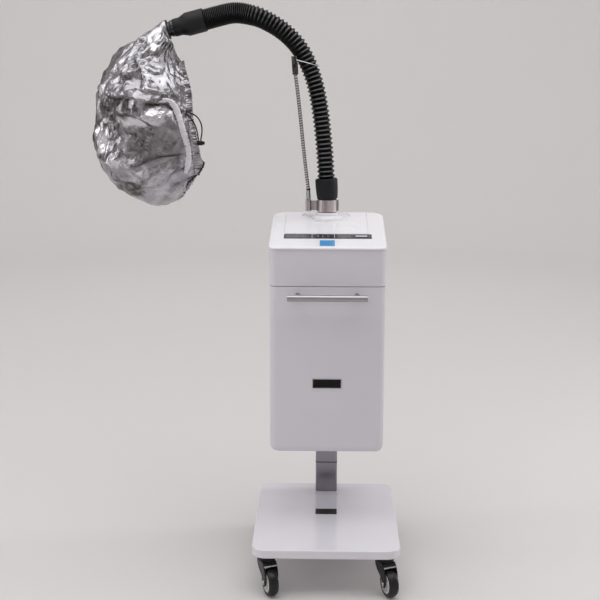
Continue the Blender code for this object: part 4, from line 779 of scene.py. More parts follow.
def lies_below(depth):
    """A test for an edge of the lid that lies at a depth below the slope."""
    return lambda edge: all(abs((lid_front - vert.co).dot(lid_up) - depth) < TOUCH
                            for vert in edge.verts)


# The top face is drawn in and lifted, which leaves a border that falls to the outline
lid = sloped_block("top_lid", 0, LID_FALL, 0)
pick(lid, "FACE", lambda face: face.normal.dot(lid_up) > 0.99)
bpy.ops.mesh.inset(thickness=LID_BORDER, depth=LID_FALL)
bpy.ops.object.mode_set(mode="OBJECT")
round_edges(lid, LID_EDGE, 5, lies_below(LID_FALL))
round_edges(lid, LID_CREASE, 3, lies_below(0))
carve(lid, sloped_block("lid_hollow", LID_WALL, LID_WALL + LID_FALL, 0.01))
dish = turn("dish", DISH_PROFILE, steps=96)
lay(dish, on_slope @ Matrix.Translation(DISH_MIDDLE))
carve(lid, dish)
carve(lid, pillar("outlet_hole", OUTLET_HOLE, 0.7, 0.82, outlet_axis))
strip_pocket = cube("strip_pocket", *STRIP_POCKET)
lay(strip_pocket, on_slope)
carve(lid, strip_pocket)
groove = rounded_block("overlay_groove", *OVERLAY_GROOVE, 0.0079, 0, steps=6)
lay(groove, on_slope)
carve(lid, groove)
ease(lid, 0.0004)

# Moulded ABS copies its polished tool: a clean, bright white with an even shine
abs_white = start_material("moulded_white_abs", "eae9ee", Roughness=0.26, IOR=1.53,
                           Coat_Weight=0.15, Coat_Roughness=0.1)
layer(abs_white, 0.09, colours=("e7e6ec", "efeef2"), roughness=(0.24, 0.29), Detail=3)
layer(abs_white, 0.0011, relief=(0.02, 0.0002), Detail=1)
fit(lid, abs_white, "stand", "white_gloss", "top_cover")

overlay = rounded_block("lid_overlay", *OVERLAY, 0.007, 0, steps=6)
carve(overlay, pillar("overlay_dish", DISH_RADIUS + 0.0025, -0.01, 0.01, DISH_MIDDLE, steps=96))
ease(overlay, 0.0005)
lay(overlay, on_slope)
fit(overlay, abs_white, "stand", "white_gloss")

# Control strip: a black acrylic film with smoked windows and generic marks printed on its face,
# stuck in its pocket, and three sprung keys that stand just proud of it.
# Acrylic film is dark and glossy, with smudges that dull it here and there
film = start_material("smoked_acrylic_film", "2a2a2e", Roughness=0.22, IOR=1.49)
layer(film, 0.012, colours=("19191c", "2c2c31"), roughness=(0.14, 0.34), Detail=4)
dress(film, "control_strip", "key_timer", "key_heat", "key_power")
# Screen ink is flat and matt, and the mesh leaves it a little uneven
ink = start_material("screen_printed_white_ink", "d8d8dc", Roughness=0.5)
layer(ink, 0.0006, colours=("b9b9bf", "d6d6db"), Detail=2)
# The windows are thin grey print, so they look like smoke under the gloss
smoke = start_material("grey_printed_window", "4d4d52", Roughness=0.2, IOR=1.49)
layer(smoke, 0.009, colours=("3e3e43", "5c5c62"), Detail=3)

INK_THICK = 0.0001
STRIP_FACE = 0.0003
KEY_FACE = 0.0008
# Each mark is (middle x, middle y, width, height) on the slope
WINDOWS = ((-0.0660, 0.0, 0.050, 0.021), (-0.0275, 0.0115, 0.010, 0.004),
           (0.0350, 0.0, 0.032, 0.019), (-0.0095, -0.0105, 0.030, 0.005))
LINES = ((-0.0345, 0.0, 0.0010, 0.027), (0.0148, 0.0, 0.0010, 0.027),
         (-0.0112, 0.004, 0.0030, 0.0012), (-0.0112, 0.0, 0.0030, 0.0012),
         (-0.0112, -0.004, 0.0030, 0.0012), (0.0912, 0.004, 0.0016, 0.0016))
PLUS = ((-0.021, 0.0, 0.0060, 0.0013), (-0.021, 0.0, 0.0013, 0.0060))
MINUS = ((0.0015, 0.0, 0.0060, 0.0013),)
BAR = ((0.0735, 0.001, 0.0256, 0.0086),)
for name, marks, face, material, body, slot in (
        ("strip_windows", WINDOWS, STRIP_FACE, smoke, "stand", "black_gloss"),
        ("strip_lines", LINES, STRIP_FACE, ink, "stand", "white_satin"),
        ("timer_mark", PLUS, KEY_FACE, ink, "timer_button", "white_satin"),
        ("heat_mark", MINUS, KEY_FACE, ink, "heat_button", "white_satin"),
        ("power_mark", BAR, KEY_FACE, ink, "power_button", "white_satin")):
    pads = [rounded_block("ink", (x - width / 2, y - height / 2, face),
                          (x + width / 2, y + height / 2, face + INK_THICK),
                          0.2 * min(width, height), 0, steps=3) for x, y, width, height in marks]
    print_sheet = join(name, pads)
    lay(print_sheet, on_slope)
    fit(print_sheet, material, body, slot)

# Blue label: a bare film label stuck on the lid's front slope, with its print left off. The
# vinyl is a clear blue that has faded unevenly.
blue = start_material("blue_vinyl_film", "4492cf", Roughness=0.32, IOR=1.5)
layer(blue, 0.015, colours=("3c89c8", "4f9cd6"), relief=(0.1, 0.0003), Detail=3)
LABEL = ((-0.0172, -0.0686, 0), (0.0152, -0.0281, 0.00018))
label = rounded_block("blue_label", *LABEL, 0.001, 0, steps=3)
lay(label, on_slope)
fit(label, blue, "stand", "white_satin")

# Steam outlet: a white boss and spigot that stands in the dish, moulded with the lid's ABS, with
# a step ring round its foot. The arm turns on it.
SPIGOT_INNER = 0.0138
SPIGOT_OUTER = 0.0168
BOSS_RADIUS = 0.0255
boss_top = outlet_high.z - 0.026
spigot = turn("outlet_boss", [(SPIGOT_INNER, outlet_low.z), (BOSS_RADIUS, outlet_low.z),
                              (BOSS_RADIUS, boss_top - 0.0032), (0.0214, boss_top - 0.0008),
                              (SPIGOT_OUTER, boss_top - 0.0008), (SPIGOT_OUTER, outlet_high.z),
                              (SPIGOT_INNER, outlet_high.z)], outlet_axis, closed=True)
ease(spigot, 0.0006)
fit(spigot, abs_white, "stand", "white_gloss", "outlet_spigot")
STEP_PROFILE = (
    (OUTLET_HOLE, 0.7640), (0.0352, 0.7640), (0.0352, 0.7716), (0.0347, 0.7734), (0.0334, 0.7746),
    (0.0310, 0.7752), (0.0302, 0.7768), (0.0290, 0.7776), (OUTLET_HOLE, 0.7778))
step_ring = turn("outlet_step_ring", STEP_PROFILE, outlet_axis, steps=72, closed=True)
ease(step_ring, 0.0003)
fit(step_ring, abs_white, "stand", "white_gloss")


# Strap clamp: a band of satin stainless steel bent round the cuff's neck, its two ends closed
# into a small loop that grips the gooseneck's ferrule.
def hoop(name, inner, outer, low, high, axis, steps):
    """A plain ring of strap round an axis."""
    return turn(name, [(inner, low), (outer, low), (outer, high), (inner, high)], axis,
                steps=steps, closed=True)


def clamp_bar(name, left, right, front, back, inset, corner, edge, steps):
    """A bar of the clamp, given from the outlet's axis, set in from the band's top and foot."""
    return rounded_block(name, outlet_axis + Vector((left, front, clamp_low.z + inset)),
                         outlet_axis + Vector((right, back, clamp_high.z - inset)),
                         corner, edge, steps=steps)


BAND_INNER = 0.0206
BAND_OUTER = 0.0228
LOOP_REACH = 0.044
LOOP_INSET = 0.0003
clamp_low, clamp_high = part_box("strap_clamp")
band = hoop("band", BAND_INNER, BAND_OUTER, clamp_low.z, clamp_high.z, outlet_axis, 72)
ease(band, 0.0005)
loop_axis = outlet_axis - Vector((LOOP_REACH, 0, 0))
loop = hoop("loop", 0.0043, 0.0063, clamp_low.z + LOOP_INSET, clamp_high.z - LOOP_INSET,
            loop_axis, 40)
ease(loop, 0.0004)
# Two straps run from the band to the loop, and an ear stands on the other side
CLAMP_BARS = (
    ("strap", -LOOP_REACH + 0.0050, -BAND_INNER - 0.0008, -0.0035, -0.0015, 0.0025),
    ("strap", -LOOP_REACH + 0.0050, -BAND_INNER - 0.0008, 0.0015, 0.0035, 0.0025),
    ("ear", BAND_INNER + 0.0008, BAND_OUTER + 0.0040, -0.0012, 0.0012, 0.0012))
clamp = join("steel_strap_clamp", [band, loop] + [clamp_bar(*row, 0.0006, 0.0003, 3)
                                                  for row in CLAMP_BARS])
# Satin strap is brushed along its length, so its shine is soft and banded
strap_steel = start_material("satin_stainless_strap", "d3cacb", Metallic=1.0, Roughness=0.3,
                             Anisotropic=0.5)
layer(strap_steel, (0.02, 0.02, 0.0006), colours=("c6bcbd", "ddd4d5"), roughness=(0.22, 0.40),
      Detail=3)
fit(clamp, strap_steel, "arm", "satin_steel", "strap_clamp")
# Painted shade: thin dark bars where the straps leave the loop and the band, and beside the ear,
# stand for the shade in those crevices
CLAMP_CREVICE_SHADES = (
    ("gap", -0.0386, -0.0373, -0.0041, -0.0030, 0.0010),
    ("gap", -0.0246, -0.0230, -0.0041, -0.0030, 0.0010),
    ("gap", 0.0215, 0.0228, -0.0070, -0.0020, 0.0010))
clamp_crevice_shade = join("clamp_painted_crevice_shade", [clamp_bar(*row, 0.0003, 0, 2) for row in CLAMP_CREVICE_SHADES])
fit(clamp_crevice_shade, joint_line_and_crevice_shade, "arm", "satin_steel")

# Lower cuff: a moulded black collar pushed on the spigot, tapering in to its neck under the
# clamp, and leaning the way that the hose goes.
CUFF_PIVOT = 0.81564
CUFF_TOP = 0.86264
CUFF_LEAN = math.radians(3.5)
CUFF_PROFILE = (
    (0.0171, 0.7859), (0.0203, 0.7859), (0.0203, CUFF_PIVOT), (0.0232, CUFF_PIVOT),
    (0.0244, CUFF_PIVOT + 0.008), (0.0253, CUFF_PIVOT + 0.022), (0.0256, CUFF_PIVOT + 0.030),
    (0.0256, CUFF_TOP - 0.004), (0.0244, CUFF_TOP - 0.0012), (0.0216, CUFF_TOP),
    (0.0150, CUFF_TOP), (0.0150, 0.8130), (0.0171, 0.8124))
cuff = turn("lower_collar", CUFF_PROFILE, outlet_axis, closed=True)
ease(cuff, 0.0007)
lean_middle = outlet_axis + Vector((0, 0, CUFF_PIVOT))
leaning = (Matrix.Translation(lean_middle) @ Matrix.Rotation(-CUFF_LEAN, 4, "Y")
           @ Matrix.Translation(-lean_middle))
for vertex in cuff.data.vertices:
    if vertex.co.z > CUFF_PIVOT - 0.0006:
        vertex.co = leaning @ vertex.co
# A spark eroded tool leaves this ABS a dry black that barely shines
SPARK_TEXTURE = 0.0009
black_abs = start_material("textured_black_abs", "131216", Roughness=0.55, Specular_IOR_Level=0.3)
layer(black_abs, 0.02, colours=("0f0e12", "1a191d"), roughness=(0.42, 0.6), Detail=4)
layer(black_abs, SPARK_TEXTURE, relief=(0.25, 0.0002), Detail=1)
fit(cuff, black_abs, "arm", "black_plastic", "lower_cuff")

# Hose: a black corrugated tube, blown in PVC, from the lower cuff up and over to the hood. Its
# ribs stand wider apart low down and close up toward the upper cuff.
HOSE_START = Vector((0.18106, 0.13189, 0.86285))
HOSE_ROUTE = (
    (0, 0), (-0.0024, 0.0389), (-0.0058, 0.0800), (-0.0102, 0.1220), (-0.0160, 0.1630),
    (-0.0240, 0.2030), (-0.0348, 0.2380), (-0.0490, 0.2715), (-0.0660, 0.2975), (-0.0850, 0.3180),
    (-0.1060, 0.3350), (-0.1281, 0.3483), (-0.1505, 0.3590), (-0.1730, 0.3655), (-0.1953, 0.3693),
    (-0.2150, 0.3690), (-0.2364, 0.3646), (-0.2741, 0.3546))
HOSE_POINTS = 600
HOSE_SIDES = 40
RIB_STEPS = 8
OPEN_RIBS = np.linspace(0.0108, 0.0096, 43)
CLOSED_RIBS = (0.0080, 0.0062, 0.0050) + 23 * (0.0041,)
# Radii of crests and valleys, by the share of the hose's length
RADIUS_SHARES = (0, 0.45, 0.62, 0.76, 0.84, 1)
CREST_RADII = (0.0204, 0.0207, 0.0215, 0.0229, 0.0240, 0.0242)
VALLEY_RADII = (0.0157, 0.0160, 0.0168, 0.0184, 0.0214, 0.0218)


def smooth_line(points, count):
    """An even line of points through route marks."""
    marks = np.array([tuple(point) for point in points], float)
    marks = np.vstack([2 * marks[0] - marks[1], marks, 2 * marks[-1] - marks[-2]])
    t = np.linspace(0, 1, 40, endpoint=False)[:, None]
    runs = []
    for before, start, end, after in zip(marks, marks[1:], marks[2:], marks[3:]):
        square = 2 * before - 5 * start + 4 * end - after
        cubed = 3 * start - before - 3 * end + after
        runs.append(0.5 * (2 * start + (end - before) * t + square * t**2 + cubed * t**3))
    dense = np.vstack(runs + [marks[-2][None, :]])
    along = along_line(dense)
    return points_at(np.linspace(0, along[-1], count), along, dense)


def along_line(line):
    """How far along a line each of its points lies."""
    return np.concatenate(([0], np.cumsum(np.linalg.norm(np.diff(line, axis=0), axis=1))))


def points_at(places, along, line):
    """The points of a line at places that are measured along it."""
    return np.stack([np.interp(places, along, line[:, axis]) for axis in range(3)], axis=1)


def line_length(line):
    """The length of a line of points."""
    return np.linalg.norm(np.diff(line, axis=0), axis=1).sum()


def grid_faces(rows, sides):
    """Faces between rows of points, each row a ring of so many sides."""
    faces = []
    for row in range(rows - 1):
        here, there = row * sides, (row + 1) * sides
        for corner in range(sides):
            after = (corner + 1) % sides
            faces.append((here + corner, here + after, there + after, there + corner))
    return faces


def tube(name, line, radii, sides):
    """A tube along a line of points; radii has one value for each point, or for each corner."""
    ways = np.gradient(line, axis=0)
    ways /= np.linalg.norm(ways, axis=1)[:, None]
    side = np.cross(ways[0], (0, 0, 1) if abs(ways[0][2]) < 0.9 else (1, 0, 0))
    angles = np.linspace(0, 2 * np.pi, sides, endpoint=False)
    rings = []
    for point, way, radius in zip(line, ways, radii):
        side = side - way * side.dot(way)
        side = side / np.linalg.norm(side)
        upward = np.cross(way, side)
        spokes = np.outer(np.cos(angles), side) + np.outer(np.sin(angles), upward)
        rings.append(point + spokes * np.broadcast_to(radius, sides)[:, None])
    count = len(rings)
    ends = [tuple(range(sides))[::-1], tuple(range((count - 1) * sides, count * sides))]
    piece = draw(name, np.concatenate(rings).tolist(), faces=grid_faces(count, sides) + ends)
    bpy.ops.object.mode_set(mode="EDIT")
    bpy.ops.mesh.select_all(action="SELECT")
    bpy.ops.mesh.normals_make_consistent(inside=False)
    bpy.ops.object.mode_set(mode="OBJECT")
    smooth(50)
    return piece


def mark_points(piece, name, values):
    """Gives each point of a piece a value that its material can read by name."""
    marks = piece.data.attributes.new(name, "FLOAT", "POINT")
    marks.data.foreach_set("value", np.ravel(values))


hose_line = smooth_line([HOSE_START + Vector((x, 0, z)) for x, z in HOSE_ROUTE], HOSE_POINTS)
hose_length = line_length(hose_line)
rib_pitch = np.concatenate((OPEN_RIBS, CLOSED_RIBS))
rib_starts = np.concatenate(([0], np.cumsum(rib_pitch))) * hose_length / rib_pitch.sum()
rib_phase = np.linspace(0, len(rib_pitch), len(rib_pitch) * RIB_STEPS + 1)
ring_places = np.interp(rib_phase, np.arange(len(rib_pitch) + 1), rib_starts)
ring_shares = ring_places / hose_length
hose_crest = np.interp(ring_shares, RADIUS_SHARES, CREST_RADII)[:, None]
hose_valley = np.interp(ring_shares, RADIUS_SHARES, VALLEY_RADII)[:, None]
# Inside the bend, on the side that faces the stand's middle, the ribs close up
BEND_SHARES = (0.42, 0.54)
BEND_FILL = 0.8
bend_inside = np.clip(np.sin(2 * np.pi * np.arange(HOSE_SIDES) / HOSE_SIDES), 0, 1) ** 0.7
bend_close = np.outer(np.interp(ring_shares, BEND_SHARES, (0, 1)), bend_inside)
rib_wave = np.sin(rib_phase * np.pi)[:, None] ** 2
rib_rise = np.maximum(rib_wave, BEND_FILL * bend_close)
hose_points = points_at(ring_places, np.linspace(0, hose_length, HOSE_POINTS), hose_line)
hose = tube("corrugated_hose", hose_points, hose_valley + (hose_crest - hose_valley) * rib_rise,
            HOSE_SIDES)
mark_points(hose, "polish", rib_wave * (1 - bend_close))
# Blown PVC is black and dull in its valleys; handling has polished the crests of the ribs
pvc = start_material("blown_black_pvc", "08080a", Roughness=0.40, Specular_IOR_Level=0.40)
layer(pvc, 0.015, colours=("070708", "0f0f11"), Detail=5)
layer(pvc, 0.0012, relief=(0.12, 0.0002), Detail=2)
pvc_polish = (add(pvc, "Attribute", attribute_name="polish"), "Fac")
add(pvc, "MapRange", {"Value": pvc_polish, 1: 0.35, 3: 0.10, 4: 0.95}, {"Specular IOR Level": 0})
vary(pvc, pvc_polish, roughness=(0.50, 0.27))
fit(hose, pvc, "arm", "black_rubber", "hose")

# Gooseneck: a chromed ferrule in the clamp's loop, a flexible neck wound from steel strip, and a
# turned tip whose wire loop holds up the hose.
# Chrome mirrors the studio sharply, and fingers leave it hazy in places
chrome = start_material("bright_chrome_plate", "c9c9cc", Metallic=1.0, Roughness=0.12)
layer(chrome, 0.006, colours=("bcbcc0", "d4d4d6"), roughness=(0.07, 0.24), Detail=4)
FERRULE_TOP = 0.83478
ferrule_seat = clamp_high.z + 0.0003
ferrule = turn("gooseneck_cone", [(0, clamp_low.z), (0.004, clamp_low.z), (0.004, ferrule_seat),
                                  (0.0058, ferrule_seat), (0.0058, clamp_high.z + 0.0024),
                                  (0.0044, FERRULE_TOP - 0.001), (0.0040, FERRULE_TOP),
                                  (0, FERRULE_TOP)], loop_axis, steps=40)
ease(ferrule, 0.0003)
fit(ferrule, chrome, "arm", "chrome", "gooseneck_ferrule")
collar_ring = turn("gooseneck_dark_ring",
                   [(0.0036, FERRULE_TOP + 0.0003), (0.0049, FERRULE_TOP + 0.0003),
                    (0.0049, FERRULE_TOP + 0.0040), (0.0036, FERRULE_TOP + 0.0046)],
                   loop_axis, steps=32, closed=True)
ease(collar_ring, 0.0003)
fit(collar_ring, black_abs, "arm", "black_plastic")

NECK_RADIUS = 0.0043
NECK_GROOVE = 0.0036
NECK_SWAY = 0.0006
NECK_SIDES = 20
WINDING_PITCH = 0.0056
WINDING_STEPS = 8
TIP_FOOT = Vector((0.1107, 0.1120, 1.0966))
TIP_LEAN = math.radians(4)
TIP_PROFILE = (
    (0, 0), (0.0060, 0), (0.0067, 0.0006), (0.0067, 0.0060), (0.0064, 0.0064), (0.0064, 0.0072),
    (0.0067, 0.0076), (0.0067, 0.0402), (0.0061, 0.0410), (0, 0.0410))
neck_foot = Vector((loop_axis.x, loop_axis.y, FERRULE_TOP + 0.0005))
neck_steps = int((TIP_FOOT - neck_foot).length / WINDING_PITCH * WINDING_STEPS)
neck_share = np.linspace(0, 1, neck_steps)
neck_line = np.array(neck_foot) + np.outer(neck_share, np.array(TIP_FOOT - neck_foot))
neck_line[:, 0] -= NECK_SWAY * np.sin(2 * np.pi * neck_share)
winding = (np.arange(neck_steps)[:, None] / WINDING_STEPS
           - np.arange(NECK_SIDES)[None, :] / NECK_SIDES)
winding_rise = np.sqrt(np.abs(np.sin(np.pi * winding)))
gooseneck = tube("wound_gooseneck", neck_line,
                 NECK_GROOVE + (NECK_RADIUS - NECK_GROOVE) * winding_rise, NECK_SIDES)
mark_points(gooseneck, "winding", winding_rise)
# Wound strip mirrors the studio on every turn; its colour is painted nearly black in the grooves
# between, as shade
strip_chrome = start_material("wound_chromed_strip", "b9b7b8", Metallic=1.0, Roughness=0.2)
layer(strip_chrome, 0.004, roughness=(0.14, 0.30), Detail=3)
strip_rise = add(strip_chrome, "Attribute", attribute_name="winding")
strip_groove_shade = add(strip_chrome, "MapRange", {"Value": (strip_rise, "Fac"), 1: 0.50, 2: 0.92})
vary(strip_chrome, (strip_groove_shade, 0), colours=("0e0d0e", "dad8d9"))
fit(gooseneck, strip_chrome, "arm", "chrome", "gooseneck")
tip = turn("gooseneck_cap", TIP_PROFILE, TIP_FOOT, (-math.sin(TIP_LEAN), 0, math.cos(TIP_LEAN)),
           steps=40)
ease(tip, 0.0002, 1)
# The tip's chrome mirrors as sharply as the bright chrome, but its colour is painted a good deal
# dimmer, as shade for darker surroundings
shaded_chrome = start_material("chrome_plate_painted_dim", "6f6c6d", Metallic=1.0, Roughness=0.16)
layer(shaded_chrome, 0.006, colours=("3d3a3b", "565354"), roughness=(0.10, 0.24), Detail=4)
fit(tip, shaded_chrome, "arm", "chrome", "gooseneck_tip")
dress(chrome, "wire_loop")

# Upper end: a stepped black cuff on the end of the hose, and a glossy nozzle that it holds. The
# hood's neck ring turns on the nozzle.
HOSE_END = Vector((-0.093331, 0.131892, 1.217374))
END_WAY = Vector((-0.966412, 0, -0.256999))
UPPER_PROFILE = (
    (0.0150, 0), (0.0250, 0), (0.0259, 0.0006), (0.0262, 0.0016), (0.0262, 0.0400),
    (0.0257, 0.0424), (0.0246, 0.0446), (0.0212, 0.0532), (0.0204, 0.0550), (0.0200, 0.0574),
    (0.0200, 0.0706), (0.0196, 0.0713), (0.0168, 0.0713), (0.0168, 0.0617), (0.0150, 0.0617))
upper_cuff = turn("upper_collar", UPPER_PROFILE, HOSE_END, END_WAY, closed=True)
ease(upper_cuff, 0.0005)
fit(upper_cuff, black_abs, "arm", "black_plastic", "upper_cuff")
NOZZLE_PROFILE = (
    (0.0135, 0.0622), (0.0165, 0.0622), (0.0165, 0.0716), (0.0190, 0.0718), (0.0192, 0.0726),
    (0.0182, 0.0786), (0.0178, 0.0796), (0.0165, 0.0800), (0.0165, 0.0940), (0.0176, 0.0944),
    (0.0180, 0.0950), (0.0180, 0.0958), (0.0174, 0.09605), (0.0135, 0.09605))
nozzle = turn("steam_nozzle", NOZZLE_PROFILE, HOSE_END, END_WAY, steps=56, closed=True)
ease(nozzle, 0.0003)
# Polished ABS shines like lacquer, with wipe marks that come and go
nozzle_gloss = start_material("polished_black_abs", "121215", Roughness=0.12, IOR=1.53,
                              Coat_Weight=0.3, Coat_Roughness=0.05)
layer(nozzle_gloss, 0.01, colours=("0e0e10", "19191d"), roughness=(0.06, 0.2), Detail=4)
fit(nozzle, nozzle_gloss, "arm", "black_gloss", "nozzle")

# Hood neck: a black rubber ring that the foil is bonded to. It turns on the nozzle, and the
# nozzle's lip keeps it on.
HOOD_NECK = Vector((-0.179825, 0.131892, 1.194373))
NECK_RING_PROFILE = (
    (0.0168, -0.0048), (0.0214, -0.0048), (0.0222, -0.0042), (0.0222, -0.0030), (0.0198, -0.0026),
    (0.0198, 0.0040), (0.0168, 0.0040))
neck_ring = turn("neck_rubber_ring", NECK_RING_PROFILE, HOOD_NECK, END_WAY, steps=56, closed=True)
ease(neck_ring, 0.0003)
# Moulded rubber is matt, with a grey bloom in patches
rubber = start_material("moulded_black_rubber", "161619", Roughness=0.55, IOR=1.52)
layer(rubber, 0.004, colours=("111113", "232327"), roughness=(0.45, 0.65), Detail=4)
fit(neck_ring, rubber, "hood", "black_rubber", "hood_neck_ring")

# Foil hood: a bag of metallised film gathered at the neck and at its side opening. The film is
# thin and has been folded many times, so it stands in flat facets with sharp creases.
# Places on it are (x, z) from the neck; each section is left, right and half its depth
HOOD_SECTIONS = (
    ((-0.0300, 0.0040), (0.0201, -0.0405), 0.034), ((-0.0716, -0.0244), (0.0291, -0.0647), 0.055),
    ((-0.1169, -0.0556), (0.0385, -0.1000), 0.080), ((-0.1370, -0.0899), (0.0680, -0.1400), 0.100),
    ((-0.1542, -0.1352), (0.0920, -0.1850), 0.115), ((-0.1670, -0.1900), (0.1040, -0.2350), 0.122),
    ((-0.1665, -0.2350), (0.1040, -0.2750), 0.122), ((-0.1552, -0.2862), (0.0900, -0.3150), 0.113),
    ((-0.1380, -0.3280), (0.0620, -0.3450), 0.092), ((-0.1058, -0.3648), (0.0250, -0.3750), 0.060))
HOOD_FOOT = np.array((-0.0350, 0, -0.3980))
FOOT_RING = 0.35
FOOT_BULGE = np.array((0, 0, -0.0040))
FOOT_TIP = np.array((0, 0, -0.001))
HOOD_MOUTH = 0.0216
MOUTH_PLACES = (-0.0028, 0.0043)
HOOD_AROUND = 236
HOOD_ALONG = 170
FILM_THICK = 0.0006
# The opening is cut by one plane, and its lower corner by another
OPENING_TILT = math.radians(6.2)
OPENING_TURN = math.radians(6.0)
CORNER_TILT = math.radians(-33.2)
opening_way = np.array((math.cos(OPENING_TILT) * math.cos(OPENING_TURN), math.sin(OPENING_TURN),
                        math.sin(OPENING_TILT) * math.cos(OPENING_TURN)))
opening_point = np.array((0.0382, 0, -0.1100))
corner_way = np.array((math.cos(CORNER_TILT), 0, math.sin(CORNER_TILT)))
corner_point = np.array((0.0815, 0, -0.2910))


def hood_ring(left, right, half_depth, angles):
    """One section of the hood, an ellipse on the line from left to right."""
    left, right = np.array((left[0], 0, left[1])), np.array((right[0], 0, right[1]))
    across = np.outer(np.cos(angles), (right - left) / 2)
    deep = np.outer(np.sin(angles), (0, half_depth, 0))
    return (left + right) / 2 + across + deep


def hood_skin(angles):
    """The smooth skin as a grid of points: rows from the neck down to the foot."""
    way = np.array(END_WAY)
    side = np.array((-way[2], 0, way[0])) * HOOD_MOUTH
    rings = []
    for place in MOUTH_PLACES:
        near, far = way * place - side, way * place + side
        rings.append(hood_ring((near[0], near[2]), (far[0], far[2]), HOOD_MOUTH, angles))
    rings += [hood_ring(*section, angles) for section in HOOD_SECTIONS]
    rings.append(HOOD_FOOT + FOOT_RING * (rings[-1] - HOOD_FOOT) + FOOT_BULGE)
    rings.append(np.broadcast_to(HOOD_FOOT + FOOT_TIP, (HOOD_AROUND, 3)))
    columns = [smooth_line([ring[column] for ring in rings], HOOD_ALONG)
               for column in range(HOOD_AROUND)]
    return np.stack(columns, axis=1)


def zigzag(value):
    """A fold: straight up and straight down, from -1 to 1."""
    return 4 * np.abs(value - np.floor(value) - 0.5) - 1


def fade(value, start, end):
    """0 before start, 1 after end, and smooth between."""
    share = np.clip((value - start) / (end - start), 0, 1)
    return share * share * (3 - 2 * share)


# Folds across the near side, each from (x, z) to (x, z), with its height and how far it reaches
LAPS = (
    ((-0.040, -0.150), (0.050, -0.176), 0.0080, 0.030),
    ((-0.100, -0.176), (-0.006, -0.206), 0.0055, 0.022),
    ((-0.128, -0.140), (-0.060, -0.150), 0.0060, 0.024),
    ((-0.158, -0.205), (-0.112, -0.240), 0.0050, 0.020),
    ((-0.080, -0.296), (0.052, -0.262), 0.0045, 0.028),
    ((-0.120, -0.318), (-0.030, -0.330), 0.0050, 0.022),
    ((-0.060, -0.052), (-0.038, -0.130), 0.0050, 0.022),
    ((-0.110, -0.075), (-0.062, -0.112), 0.0045, 0.018),
    ((-0.045, -0.350), (0.045, -0.300), 0.0050, 0.014),
    ((-0.020, -0.378), (0.050, -0.322), 0.0045, 0.012),
    ((-0.085, -0.356), (-0.005, -0.306), 0.0050, 0.014),
    ((-0.150, -0.262), (-0.105, -0.305), 0.0050, 0.018),
    ((-0.125, -0.322), (-0.052, -0.345), 0.0060, 0.012))
LAP_EDGE = 0.004
LAP_WANDER = 0.004
CRUMPLE_SEED = 11
# Slow sways that keep the folds from running straight: how many, their lengths and their width
SWAYS = 6
SWAY_LENGTHS = (0.06, 0.15)
SWAY_WIDTH = 0.0032
# Lengths of the large and the small folds, and their heights as shares of those
LARGE_FOLDS = (0.150, 0.120, 0.098, 0.085, 0.072, 0.060)
LARGE_RISE = 0.024
SMALL_FOLDS = (0.046, 0.040, 0.034, 0.029, 0.025, 0.021, 0.018, 0.015)
SMALL_RISE = 0.034
PLEAT_RISE = 0.0026
GATHER_RISE = 0.0022
FILM_STAND = 0.0012


def beside_fold(x, z, start, end):
    """Share of the way along a fold, and the distance above its wavy line."""
    wide, high = end[0] - start[0], end[1] - start[1]
    run = math.hypot(wide, high)
    along = ((x - start[0]) * wide + (z - start[1]) * high) / run**2
    above = ((z - start[1]) * wide - (x - start[0]) * high) / run
    return along, above + LAP_WANDER * np.sin(along * 7 + start[0] * 300)


def random_way(rng):
    """A random direction."""
    way = rng.normal(size=3)
    return way / np.linalg.norm(way)


def folded(points, waves, height, rng):
    """Sharp folds, one set for each wave length, each set at a slant of its own."""
    total = np.zeros(points.shape[:2])
    for wave in waves:
        way = random_way(rng)
        total += height * wave * zigzag(points @ way / wave + rng.uniform())
    return total


def spot(x, z, middle, half):
    """1 at the middle of a patch of the film, falling away over its half sizes."""
    return np.exp(-((x - middle[0]) / half[0]) ** 2 - ((z - middle[1]) / half[1]) ** 2)


